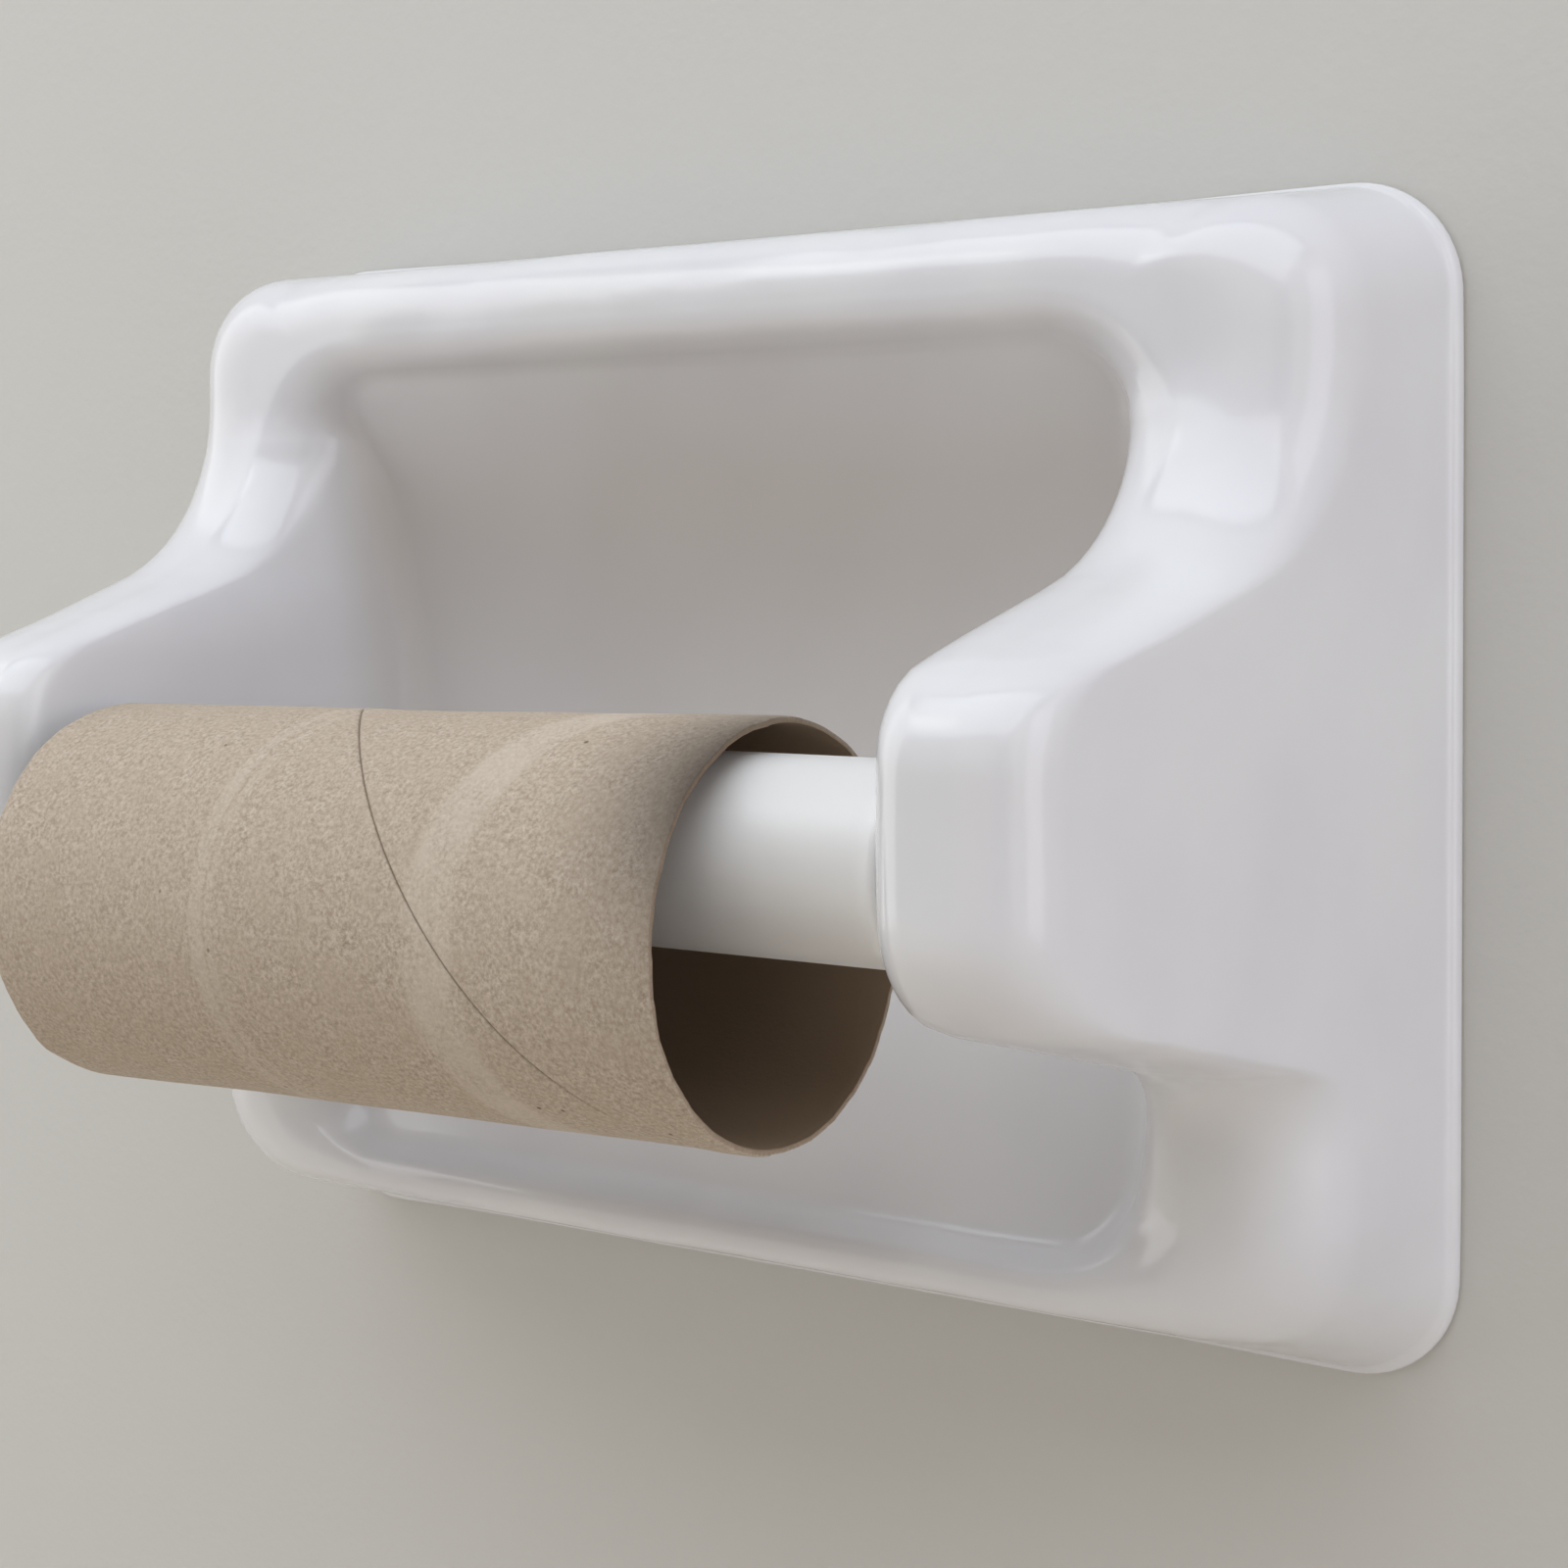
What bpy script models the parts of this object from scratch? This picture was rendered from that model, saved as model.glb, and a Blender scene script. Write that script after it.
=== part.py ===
"""Recessed china toilet paper holder with a sprung two-part roller and an empty cardboard core.

Metres, +Z up. The wall is the plane y = 0 and everything in the room has y < 0, so a depth d from
the wall is y = -d. The origin is the centre of the wall clip's back, which is also the centre of the
china plate. +X is to the right for someone facing the wall.
"""
import math

import bmesh
import bpy
import numpy as np
from mathutils import Matrix, Vector

MM = 0.001
GAP = 0.3 * MM                      # air left between pieces that touch

# china body: outline at the wall, and how far each flank leans in for each metre of depth
PLATE_HALF_WIDTH = 86.0 * MM
PLATE_HALF_HEIGHT = 65.0 * MM
PLATE_CORNER = 12.0 * MM
SIDE_LEAN, TOP_LEAN, BOTTOM_LEAN = 0.10, 0.11, 0.34

# china body: the mouth of the recess, the frame round it and the curved recess behind it
MOUTH_HALF_WIDTH = 60.5 * MM
MOUTH_TOP = 51.7 * MM
MOUTH_BOTTOM = -51.5 * MM
MOUTH_CORNER = 10.5 * MM
SPREAD_ABOVE, SPREAD_BELOW = 1.5 * MM, 3.3 * MM    # how much the mouth widens above and below the ears
FRAME_DEPTH_TOP = 27.5 * MM
FRAME_DEPTH_BOTTOM = 29.0 * MM
WALL_LEAN_IN = 2.5 * MM             # how far a side wall leans in between its edge and the recess
RECESS_DEPTH = 10.0 * MM            # depth of the recess's deepest line
RECESS_RADIUS = 92.0 * MM           # curve of the recess from top to bottom
FLANK_ROUND = 10.0 * MM             # tangent lengths of the roundings
EAR_TIP_ROUND = 7.0 * MM
MOUTH_ROUND = 8.0 * MM
EAR_INNER_ROUND = 5.5 * MM
RECESS_ROUND = 9.0 * MM
FRAME_SHARES = (0.62, 0.36)         # most of the frame's front that the flank's and mouth's roundings take
WALL_SHARES = (0.70, 0.28)          # most of the side wall that the mouth's and recess's roundings take
EVEN_SHARE = 0.49
FLOOR_INSET = 10.5 * MM             # from the mouth in to the flat net of the recess

# ears that carry the roller, seen from the side, with heights from the roller's axis
ROLLER_DEPTH = 59.7 * MM
ROLLER_HEIGHT = -2.8 * MM
EAR_DEPTH = 75.0 * MM
EAR_ROOT_TOP, EAR_TIP_TOP = 32.0 * MM, 18.0 * MM
EAR_TIP_BOTTOM, EAR_ROOT_BOTTOM = -12.5 * MM, -25.2 * MM
EAR_ROUNDS = (26.0 * MM, 9.8 * MM, 12.4 * MM, 9.0 * MM)

# china body: the hollow back
RIM = 7.0 * MM                      # flat rim that meets the wall
BACK_WALL = 9.0 * MM                # from the frame's front to the hollow behind it
HOLLOW_MAX = 44.0 * MM              # the ears are solid past this depth
CHANNEL_MIN = 3.0 * MM              # least width of the hollow behind the frame
INNER_WALL = 5.0 * MM
HOLLOW_SLOPE = 6.0 * MM

# wall clip: a steel hat section, screwed to the wall, that the china slides down over
CLIP_STEEL = 1.5 * MM
CLIP_HALF_WIDTH = 25.5 * MM
CLIP_WING = 6.5 * MM
CLIP_STANDOFF = 3.4 * MM
CLIP_TOP, CLIP_BOTTOM = 36.0 * MM, -24.0 * MM
SCORE_HEIGHTS = (-6.0 * MM, 12.0 * MM)    # shallow scored lines across the back, between the holes
SCORE_DEPTH = 0.4 * MM
HOLE_CLEARANCE = 0.4 * MM
DRILL_HALF = 5.0 * MM
RAIL_WALL = 3.4 * MM                # china rails that hook behind the wings
RAIL_OFF_WALL = 0.8 * MM
RAIL_OFF_CLIP = 0.7 * MM
BEDDED = 2.0 * MM                   # how far the rails and the stop run into the china
STOP_HEIGHT = 5.0 * MM

# screws and their wall plugs
SCREW_HEIGHTS = {"upper": 24.0 * MM, "lower": -14.0 * MM}
SCREW_SHANK = 2.0 * MM              # radii
SCREW_HEAD = 4.0 * MM
SCREW_HEAD_HEIGHT = 2.4 * MM
SCREW_LENGTH = 30.0 * MM
SCREW_POINT = 4.0 * MM
SCREW_DOME = ((1.0, 0.5), (0.75, 0.85), (0.35, 1.0))    # shares of the head's height and radius
SLOT_HALF = 0.5 * MM
SLOT_DEPTH = 1.0 * MM
SLOT_OVERRUN = 1.2                  # slot cutter's half length over the head's radius
PLUG_RADIUS = 3.3 * MM
PLUG_COLLAR = 4.4 * MM
PLUG_COLLAR_LENGTH = 1.2 * MM
PLUG_LENGTH = 27.0 * MM
PLUG_RIB = 0.35 * MM
PLUG_RIBS = 4

# roller: the inner sleeve telescopes into the outer one against a spring
SLEEVE_WALL = 0.9 * MM
INNER_SLEEVE_RADIUS = 10.3 * MM
OUTER_SLEEVE_RADIUS = INNER_SLEEVE_RADIUS + GAP + SLEEVE_WALL
ROLLER_TO_EAR = 1.6 * MM            # from each shoulder of the roller to the ear
ROLLER_HALF = MOUTH_HALF_WIDTH - ROLLER_TO_EAR
SLEEVE_END = 2.0 * MM
INNER_SHOWN = 47.8 * MM             # how much of the inner sleeve shows beyond the outer one
INNER_ROOM = 23.8 * MM              # from the inner sleeve's open edge to the outer sleeve's end
OUTER_SLEEVE_LENGTH = 2 * ROLLER_HALF - INNER_SHOWN
INNER_SLEEVE_LENGTH = 2 * ROLLER_HALF - SLEEVE_END - INNER_ROOM
SLEEVE_EDGE = 0.8 * MM              # chamfer on each shoulder
PIN_RADIUS = 4.0 * MM
PIN_LENGTH = 6.5 * MM
SOCKET_RADIUS = PIN_RADIUS + GAP
SOCKET_SPARE = 0.8 * MM             # socket depth past the pin's tip
SPRING_RADIUS = 6.0 * MM
SPRING_WIRE = 0.55 * MM
SPRING_TURNS = 15
SPRING_STEPS = 12                   # points in each turn

# cardboard core: hangs askew, with the top of its left end on the outer sleeve
CORE_RADIUS = 22.3 * MM
CORE_WALL = 0.8 * MM
CORE_LENGTH = 95.5 * MM
CORE_TO_EAR = 4.15 * MM             # from its left end to the left ear
CORE_TILT = math.radians(0.7)       # right end up
CORE_YAW = math.radians(2.0)        # right end towards the wall


def clear_scene():
    for obj in list(bpy.data.objects):
        bpy.data.objects.remove(obj, do_unlink=True)


def material(name, colour, roughness, metallic=0.0):
    mat = bpy.data.materials.new(name)
    mat.use_nodes = True
    shader = mat.node_tree.nodes["Principled BSDF"]
    shader.inputs["Base Color"].default_value = (*colour, 1.0)
    shader.inputs["Roughness"].default_value = roughness
    shader.inputs["Metallic"].default_value = metallic
    mat.diffuse_color = (*colour, 1.0)
    return mat


def add_object(name, mesh, mat, place=(0.0, 0.0, 0.0), smooth_angle=35.0):
    mesh.shade_smooth()
    mesh.set_sharp_from_angle(angle=math.radians(smooth_angle))
    obj = bpy.data.objects.new(name, mesh)
    bpy.context.scene.collection.objects.link(obj)
    obj.location = place
    obj.data.materials.append(mat)
    return obj


def mesh_from_bmesh(name, bm):
    bmesh.ops.recalc_face_normals(bm, faces=bm.faces)
    mesh = bpy.data.meshes.new(name)
    bm.to_mesh(mesh)
    bm.free()
    return mesh


def turned(name, profile, segments):
    """A profile of (along, radius) points, closed by its own ends or on the axis, spun about +X."""
    bm = bmesh.new()
    verts = [bm.verts.new((along, 0.0, radius)) for along, radius in profile]
    edges = [bm.edges.new(pair) for pair in zip(verts, verts[1:])]
    if min(profile[0][1], profile[-1][1]) > 0.0:
        edges.append(bm.edges.new((verts[-1], verts[0])))
    bmesh.ops.spin(bm, geom=verts + edges, cent=(0, 0, 0), axis=(1, 0, 0), steps=segments,
                   angle=2 * math.pi, use_merge=True)
    bmesh.ops.remove_doubles(bm, verts=bm.verts, dist=1e-6)
    return mesh_from_bmesh(name, bm)


def extruded(name, outline, bottom, top):
    """An outline of (x, depth) points, extruded in height from bottom to top."""
    bm = bmesh.new()
    face = bm.faces.new([bm.verts.new((x, -depth, bottom)) for x, depth in outline])
    walls = bmesh.ops.extrude_face_region(bm, geom=[face])
    raised = [v for v in walls["geom"] if isinstance(v, bmesh.types.BMVert)]
    bmesh.ops.translate(bm, verts=raised, vec=(0, 0, top - bottom))
    return mesh_from_bmesh(name, bm)


def cutter(name, mesh, place=(0.0, 0.0, 0.0)):
    obj = bpy.data.objects.new(name, mesh)
    bpy.context.scene.collection.objects.link(obj)
    obj.location = place
    obj.hide_render = True
    obj.display_type = "WIRE"
    return obj


def combine(target, other, operation):
    mod = target.modifiers.new(f"{operation.lower()} {other.name}", "BOOLEAN")
    mod.operation = operation
    mod.object = other
    mod.solver = "EXACT"


# ---- china body ----

# The china's sections start on a flat rectangle in the recess, the net, and run out from it to the wall.
NET_HALF_WIDTH = MOUTH_HALF_WIDTH - FLOOR_INSET
NET_TOP = MOUTH_TOP - FLOOR_INSET
NET_BOTTOM = MOUTH_BOTTOM + FLOOR_INSET
SIDE_STEPS, CORNER_STEPS, TOP_STEPS, FLOOR_STEPS = 22, 11, 8, 4


def rounded_line(points, radii, steps=8):
    """A line of (height, depth) points whose inner corners are arcs of the given radii."""
    line = [Vector(points[0])]
    for before, corner, after, radius in zip(points, points[1:], points[2:], radii):
        corner = Vector(corner)
        u = (Vector(before) - corner).normalized()
        v = (Vector(after) - corner).normalized()
        half = u.angle(v) / 2
        centre = corner + (u + v).normalized() * radius / math.sin(half)
        start = corner + u * radius / math.tan(half)
        turn = (start - centre).angle_signed(corner + v * radius / math.tan(half) - centre)
        for k in range(steps + 1):
            line.append(centre + Matrix.Rotation(-turn * k / steps, 2) @ (start - centre))
    line.append(Vector(points[-1]))
    return np.array(line)


def crest_depth(height):
    """Depth of the frame's front at a height: the side view of the frame and its ears."""
    far = 2 * PLATE_HALF_HEIGHT
    line = rounded_line(
        [(far, FRAME_DEPTH_TOP),
         (ROLLER_HEIGHT + EAR_ROOT_TOP, FRAME_DEPTH_TOP),
         (ROLLER_HEIGHT + EAR_TIP_TOP, EAR_DEPTH),
         (ROLLER_HEIGHT + EAR_TIP_BOTTOM, EAR_DEPTH),
         (ROLLER_HEIGHT + EAR_ROOT_BOTTOM, FRAME_DEPTH_BOTTOM),
         (-far, FRAME_DEPTH_BOTTOM)],
        EAR_ROUNDS)[::-1]
    return np.interp(height, line[:, 0], line[:, 1])


def recess_depth(height):
    """Depth of the recess at a height: one arc, deepest on the plate's middle line."""
    return RECESS_DEPTH + RECESS_RADIUS - np.sqrt(RECESS_RADIUS ** 2 - height ** 2)


def corner_ways(across, up):
    """Ways out from a corner of the net that fall evenly along the plate's edge, from across to up."""
    straight_up, straight_across = up - PLATE_CORNER, across - PLATE_CORNER
    arc = PLATE_CORNER * math.pi / 2
    for k in range(CORNER_STEPS):
        run = (straight_up + arc + straight_across) * k / CORNER_STEPS
        turn = min(max((run - straight_up) / PLATE_CORNER, 0.0), math.pi / 2)
        x = across - PLATE_CORNER * (1 - math.cos(turn)) - max(run - straight_up - arc, 0.0)
        z = min(run, straight_up) + PLATE_CORNER * math.sin(turn)
        yield Vector((x, z)).normalized()


def net_stations():
    """Points round the recess's rectangle, and the way out from each, anticlockwise from the right."""
    w, top, bottom = NET_HALF_WIDTH, NET_TOP, NET_BOTTOM
    wide = PLATE_HALF_WIDTH - w
    margins = [(wide, PLATE_HALF_HEIGHT - top), (PLATE_HALF_HEIGHT - top, wide),
               (wide, PLATE_HALF_HEIGHT + bottom), (PLATE_HALF_HEIGHT + bottom, wide)]
    corners = [Vector((w, bottom)), Vector((w, top)), Vector((-w, top)), Vector((-w, bottom))]
    points, ways = [], []
    for side, (start, end) in enumerate(zip(corners, corners[1:] + corners[:1])):
        turn = Matrix.Rotation(side * math.pi / 2, 2)
        steps = SIDE_STEPS if side % 2 == 0 else TOP_STEPS
        for k in range(steps):
            points.append(start.lerp(end, k / steps))
            ways.append(turn @ Vector((1, 0)))
        for way in corner_ways(*margins[side]):
            points.append(end)
            ways.append(turn @ way)
    return np.array(points), np.array(ways)


def reach(ways, half_width, top, bottom, corner):
    """Distance from the net's rectangle, along each way out, to a larger rectangle with round corners."""
    across, up = np.abs(ways[:, 0]), np.abs(ways[:, 1])
    wide = half_width - NET_HALF_WIDTH
    high = np.where(ways[:, 1] >= 0, top - NET_TOP, NET_BOTTOM - bottom)
    straight = np.minimum(wide / np.maximum(across, 1e-9), high / np.maximum(up, 1e-9))
    cx, cz = wide - corner, high - corner
    along = across * cx + up * cz
    arc = along + np.sqrt(np.maximum(along ** 2 - cx ** 2 - cz ** 2 + corner ** 2, 0))
    on_arc = (arc * across > cx) & (arc * up > cz)
    return np.where(on_arc, arc, straight)


def plate_edge(ways, depth):
    """Distance from the net out to the plate's outline at a depth, by which all four sides have leaned in."""
    return reach(ways, PLATE_HALF_WIDTH - SIDE_LEAN * depth, PLATE_HALF_HEIGHT - TOP_LEAN * depth,
                 BOTTOM_LEAN * depth - PLATE_HALF_HEIGHT, PLATE_CORNER)


def rounded_corner(before, corner, after, tangent, shares, steps):
    """Arcs at the corner of every section, each no longer than its shares of the edges beside it."""
    u, v = before - corner, after - corner
    u_len = np.linalg.norm(u, axis=1, keepdims=True)
    v_len = np.linalg.norm(v, axis=1, keepdims=True)
    u, v = u / u_len, v / v_len
    tangent = np.minimum(tangent, np.minimum(shares[0] * u_len, shares[1] * v_len))
    weight = np.sin(np.arccos(np.clip(np.sum(u * v, axis=1, keepdims=True), -1, 1)) / 2)
    t = np.linspace(0, 1, steps)[:, None, None]
    b0, b1, b2 = (1 - t) ** 2, 2 * t * (1 - t) * weight, t ** 2
    return (b0 * (corner + u * tangent) + b1 * corner + b2 * (corner + v * tangent)) / (b0 + b1 + b2)


def china_grid():
    """Every section of the china from the recess's middle, over the frame, to the middle of its back."""
    points, ways = net_stations()
    edge = plate_edge(ways, 0.0)
    mouth = reach(ways, MOUTH_HALF_WIDTH, MOUTH_TOP, MOUTH_BOTTOM, MOUTH_CORNER)
    crest = crest_depth(points[:, 1] + ways[:, 1] * (edge + mouth) / 2)
    foot = mouth - WALL_LEAN_IN

    def height(out):
        return points[:, 1] + ways[:, 1] * out

    def pair(out, depth):
        return np.stack([out + 0 * crest, depth + 0 * crest], axis=-1)

    # front: flank, frame, side wall, recess
    flank_foot = pair(edge, 0.0)
    flank_top = pair(plate_edge(ways, crest), crest)
    spread = np.where(height(mouth) > ROLLER_HEIGHT, SPREAD_ABOVE, SPREAD_BELOW) * ways[:, 0] ** 2
    spread *= np.interp(crest, [FRAME_DEPTH_BOTTOM, EAR_DEPTH], [1.0, 0.0])
    mouth_edge = pair(mouth + spread, crest)
    wall_foot = pair(foot, recess_depth(height(foot)))
    net_edge = pair(0.0, recess_depth(height(0.0)))
    flank_round = np.interp(crest, [60 * MM, EAR_DEPTH], [FLANK_ROUND, EAR_TIP_ROUND])[:, None]
    mouth_round = np.interp(crest, [FRAME_DEPTH_BOTTOM, 60 * MM], [MOUTH_ROUND, EAR_INNER_ROUND])[:, None]
    front = np.concatenate([
        flank_foot[None],
        rounded_corner(flank_foot, flank_top, mouth_edge, flank_round, (EVEN_SHARE, FRAME_SHARES[0]), 6),
        rounded_corner(flank_top, mouth_edge, wall_foot, mouth_round, (FRAME_SHARES[1], WALL_SHARES[0]), 5),
        rounded_corner(mouth_edge, wall_foot, net_edge, RECESS_ROUND, (WALL_SHARES[1], EVEN_SHARE), 5),
    ])

    # back: rim, hollow behind the frame and the ears, flat pad behind the recess
    pad = CLIP_STANDOFF + CLIP_STEEL + GAP
    hollow = np.minimum(crest - BACK_WALL, HOLLOW_MAX)
    inner = foot + INNER_WALL
    outer = np.maximum(plate_edge(ways, hollow) - RIM, inner + CHANNEL_MIN)
    rim_inner = np.maximum(edge - RIM, outer + MM / 2)
    back = np.stack([
        pair(0.0, pad),
        pair(inner - HOLLOW_SLOPE, pad),
        pair(inner, hollow),
        pair(outer, hollow),
        pair(rim_inner, 0.0),
    ])
    sections = np.concatenate([back, front])
    ring = np.stack([points[:, 0] + ways[:, 0] * sections[..., 0],
                     -sections[..., 1],
                     points[:, 1] + ways[:, 1] * sections[..., 0]], axis=-1)

    # close the recess and the pad towards a middle point
    middle = np.array([0.0, (NET_TOP + NET_BOTTOM) / 2])
    floor = []
    for share in np.linspace(1, 0, FLOOR_STEPS + 2)[1:-1]:
        flat = middle + (ring[-1][:, [0, 2]] - middle) * share
        floor.append(np.stack([flat[:, 0], -recess_depth(flat[:, 1]), flat[:, 1]], axis=-1))
    front_pole = (0.0, -float(recess_depth(middle[1])), middle[1])
    back_pole = (0.0, -pad, middle[1])
    return np.concatenate([ring, floor]), back_pole, front_pole


def closed_mesh(name, rows, first_pole, last_pole):
    """Rings of points joined row to row, with a fan of triangles to a pole at each end."""
    count, around = rows.shape[:2]
    verts = [tuple(p) for p in rows.reshape(-1, 3)] + [tuple(first_pole), tuple(last_pole)]
    faces = []
    for j in range(around):
        k = (j + 1) % around
        faces.append((len(verts) - 2, j, k))
        for i in range(count - 1):
            faces.append((i * around + j, (i + 1) * around + j, (i + 1) * around + k, i * around + k))
        faces.append(((count - 1) * around + j, len(verts) - 1, (count - 1) * around + k))
    mesh = bpy.data.meshes.new(name)
    mesh.from_pydata(verts, [], faces)
    bm = bmesh.new()
    bm.from_mesh(mesh)
    bmesh.ops.triangulate(bm, faces=bm.faces)
    bmesh.ops.recalc_face_normals(bm, faces=bm.faces)
    bm.to_mesh(mesh)
    bm.free()
    return mesh


def box_outline(left, right, near, far):
    return [(left, near), (right, near), (right, far), (left, far)]


def build_china(mat):
    body = add_object("ceramic_body", closed_mesh("ceramic_body", *china_grid()), mat)

    # hanging rails: each hooks round one wing of the clip, and a stop rests on the clip's top
    bedded = CLIP_STANDOFF + CLIP_STEEL + GAP + BEDDED
    hook = CLIP_HALF_WIDTH + RAIL_OFF_CLIP
    near = CLIP_HALF_WIDTH + CLIP_WING + GAP
    far = near + RAIL_WALL
    lip_top = CLIP_STANDOFF - GAP
    for side, name in ((1, "right"), (-1, "left")):
        outline = [(hook, RAIL_OFF_WALL), (far, RAIL_OFF_WALL), (far, bedded),
                   (near, bedded), (near, lip_top), (hook, lip_top)]
        outline = [(side * x, depth) for x, depth in outline]
        rail = extruded(f"rail_{name}", outline, CLIP_BOTTOM, CLIP_TOP + GAP + STOP_HEIGHT / 2)
        combine(body, cutter(f"rail_{name}", rail), "UNION")
    stop_half = near + RAIL_WALL / 2
    stop = extruded("stop", box_outline(-stop_half, stop_half, RAIL_OFF_WALL, bedded),
                    CLIP_TOP + GAP, CLIP_TOP + GAP + STOP_HEIGHT)
    combine(body, cutter("stop", stop), "UNION")

    # blind sockets for the roller's pins
    depth = ROLLER_HALF + PIN_LENGTH + SOCKET_SPARE
    start = NET_HALF_WIDTH
    for side, name in ((1, "right"), (-1, "left")):
        profile = [(side * start, 0.0), (side * start, SOCKET_RADIUS),
                   (side * depth, SOCKET_RADIUS), (side * depth, 0.0)]
        socket = turned(f"socket_{name}", profile, 24)
        combine(body, cutter(f"socket_{name}", socket, (0.0, -ROLLER_DEPTH, ROLLER_HEIGHT)), "DIFFERENCE")


# ---- wall clip, screws and plugs ----

def build_clip(mat):
    front = CLIP_STANDOFF + CLIP_STEEL
    tip = CLIP_HALF_WIDTH + CLIP_WING
    inside = CLIP_HALF_WIDTH - CLIP_STEEL
    half = [(CLIP_HALF_WIDTH, 0.0), (CLIP_HALF_WIDTH, CLIP_STANDOFF), (tip, CLIP_STANDOFF), (tip, front),
            (inside, front), (inside, CLIP_STEEL)]
    outline = half + [(-x, depth) for x, depth in reversed(half)]
    clip = add_object("wall_clip", extruded("wall_clip", outline, CLIP_BOTTOM, CLIP_TOP), mat)
    hole = SCREW_SHANK + HOLE_CLEARANCE
    for name, height in SCREW_HEIGHTS.items():
        profile = [(-DRILL_HALF, 0.0), (-DRILL_HALF, hole), (DRILL_HALF, hole), (DRILL_HALF, 0.0)]
        drill = turned(f"drill_{name}", profile, 20)
        drill.transform(Matrix.Rotation(math.pi / 2, 4, "Z"))
        combine(clip, cutter(f"drill_{name}", drill, (0.0, 0.0, height)), "DIFFERENCE")

    # two scored lines across the back, where the strip can be snapped to a shorter clip
    overrun = CLIP_HALF_WIDTH + BEDDED
    for height in SCORE_HEIGHTS:
        outline = box_outline(-overrun, overrun, -SCORE_DEPTH, SCORE_DEPTH)
        score = extruded("score", outline, height - SCORE_DEPTH, height + SCORE_DEPTH)
        combine(clip, cutter(f"score_{height / MM:.0f}", score), "DIFFERENCE")


def build_screws(screw_mat, plug_mat):
    into_wall = Matrix.Rotation(math.pi / 2, 4, "Z")        # +X of a turned piece becomes +Y
    seat = -(CLIP_STEEL + GAP)
    top = seat - SCREW_HEAD_HEIGHT
    dome = [(seat - up * SCREW_HEAD_HEIGHT, out * SCREW_HEAD) for up, out in SCREW_DOME]
    screw_profile = [(top, 0.0), *dome, (seat, SCREW_HEAD), (seat, SCREW_SHANK),
                     (SCREW_LENGTH - SCREW_POINT, SCREW_SHANK), (SCREW_LENGTH, 0.0)]
    bore = SCREW_SHANK + GAP
    plug_start, plug_end = GAP, GAP + PLUG_LENGTH
    ribs_start = plug_start + PLUG_COLLAR_LENGTH
    pitch = (plug_end - ribs_start) / PLUG_RIBS
    plug_profile = [(plug_end, bore), (plug_start, bore),
                    (plug_start, PLUG_COLLAR), (ribs_start, PLUG_COLLAR)]
    for k in range(PLUG_RIBS):
        plug_profile += [(ribs_start + k * pitch + GAP, PLUG_RADIUS - PLUG_RIB),
                         (ribs_start + (k + 1) * pitch - GAP, PLUG_RADIUS)]
    plug_profile.append((plug_end, PLUG_RADIUS - PLUG_RIB))
    for name, height in SCREW_HEIGHTS.items():
        screw = turned(f"clip_screw_{name}", screw_profile, 20)
        screw.transform(into_wall)
        screw = add_object(f"clip_screw_{name}", screw, screw_mat, (0.0, 0.0, height))
        reach_out = SLOT_OVERRUN * SCREW_HEAD
        outline = box_outline(-reach_out, reach_out, -top - SLOT_DEPTH, -top + SLOT_DEPTH)
        slot = extruded(f"slot_{name}", outline, -SLOT_HALF, SLOT_HALF)
        combine(screw, cutter(f"slot_{name}", slot, (0.0, 0.0, height)), "DIFFERENCE")
        plug = turned(f"wall_anchor_{name}", plug_profile, 20)
        plug.transform(into_wall)
        add_object(f"wall_anchor_{name}", plug, plug_mat, (0.0, 0.0, height))


# ---- roller ----

def sleeve_profile(length, radius):
    """A sleeve open at 0 and closed at length, with a pin on its closed end."""
    inside = radius - SLEEVE_WALL
    tip = length + PIN_LENGTH
    return [(length - SLEEVE_END, 0.0), (length - SLEEVE_END, inside), (0.0, inside), (0.0, radius),
            (length - SLEEVE_EDGE, radius), (length, radius - SLEEVE_EDGE), (length, PIN_RADIUS),
            (tip - SLEEVE_EDGE, PIN_RADIUS), (tip, PIN_RADIUS - SLEEVE_EDGE), (tip, 0.0)]


def build_roller(plastic_mat, spring_mat):
    axis_place = (0.0, -ROLLER_DEPTH, ROLLER_HEIGHT)
    outer = turned("roller_outer_sleeve", sleeve_profile(OUTER_SLEEVE_LENGTH, OUTER_SLEEVE_RADIUS), 48)
    outer.transform(Matrix.Translation((-(ROLLER_HALF - OUTER_SLEEVE_LENGTH), 0, 0)) @
                    Matrix.Rotation(math.pi, 4, "Z"))
    add_object("roller_outer_sleeve", outer, plastic_mat, axis_place)
    inner = turned("roller_inner_sleeve", sleeve_profile(INNER_SLEEVE_LENGTH, INNER_SLEEVE_RADIUS), 48)
    inner.transform(Matrix.Translation((ROLLER_HALF - INNER_SLEEVE_LENGTH, 0, 0)))
    add_object("roller_inner_sleeve", inner, plastic_mat, axis_place)

    # the spring pushes on both closed ends
    half = ROLLER_HALF - SLEEVE_END - GAP - SPRING_WIRE
    steps = SPRING_STEPS * SPRING_TURNS
    curve = bpy.data.curves.new("roller_spring", "CURVE")
    curve.dimensions = "3D"
    curve.bevel_depth = SPRING_WIRE
    curve.bevel_resolution = 1
    curve.use_fill_caps = True
    spline = curve.splines.new("POLY")
    spline.points.add(steps)
    for k, point in enumerate(spline.points):
        angle = 2 * math.pi * SPRING_TURNS * k / steps
        along = half * (2 * k / steps - 1)
        point.co = (along, SPRING_RADIUS * math.cos(angle), SPRING_RADIUS * math.sin(angle), 1)
    spring = bpy.data.objects.new("roller_spring", curve)
    bpy.context.scene.collection.objects.link(spring)
    spring.location = axis_place
    curve.materials.append(spring_mat)


# ---- cardboard core ----

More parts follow.
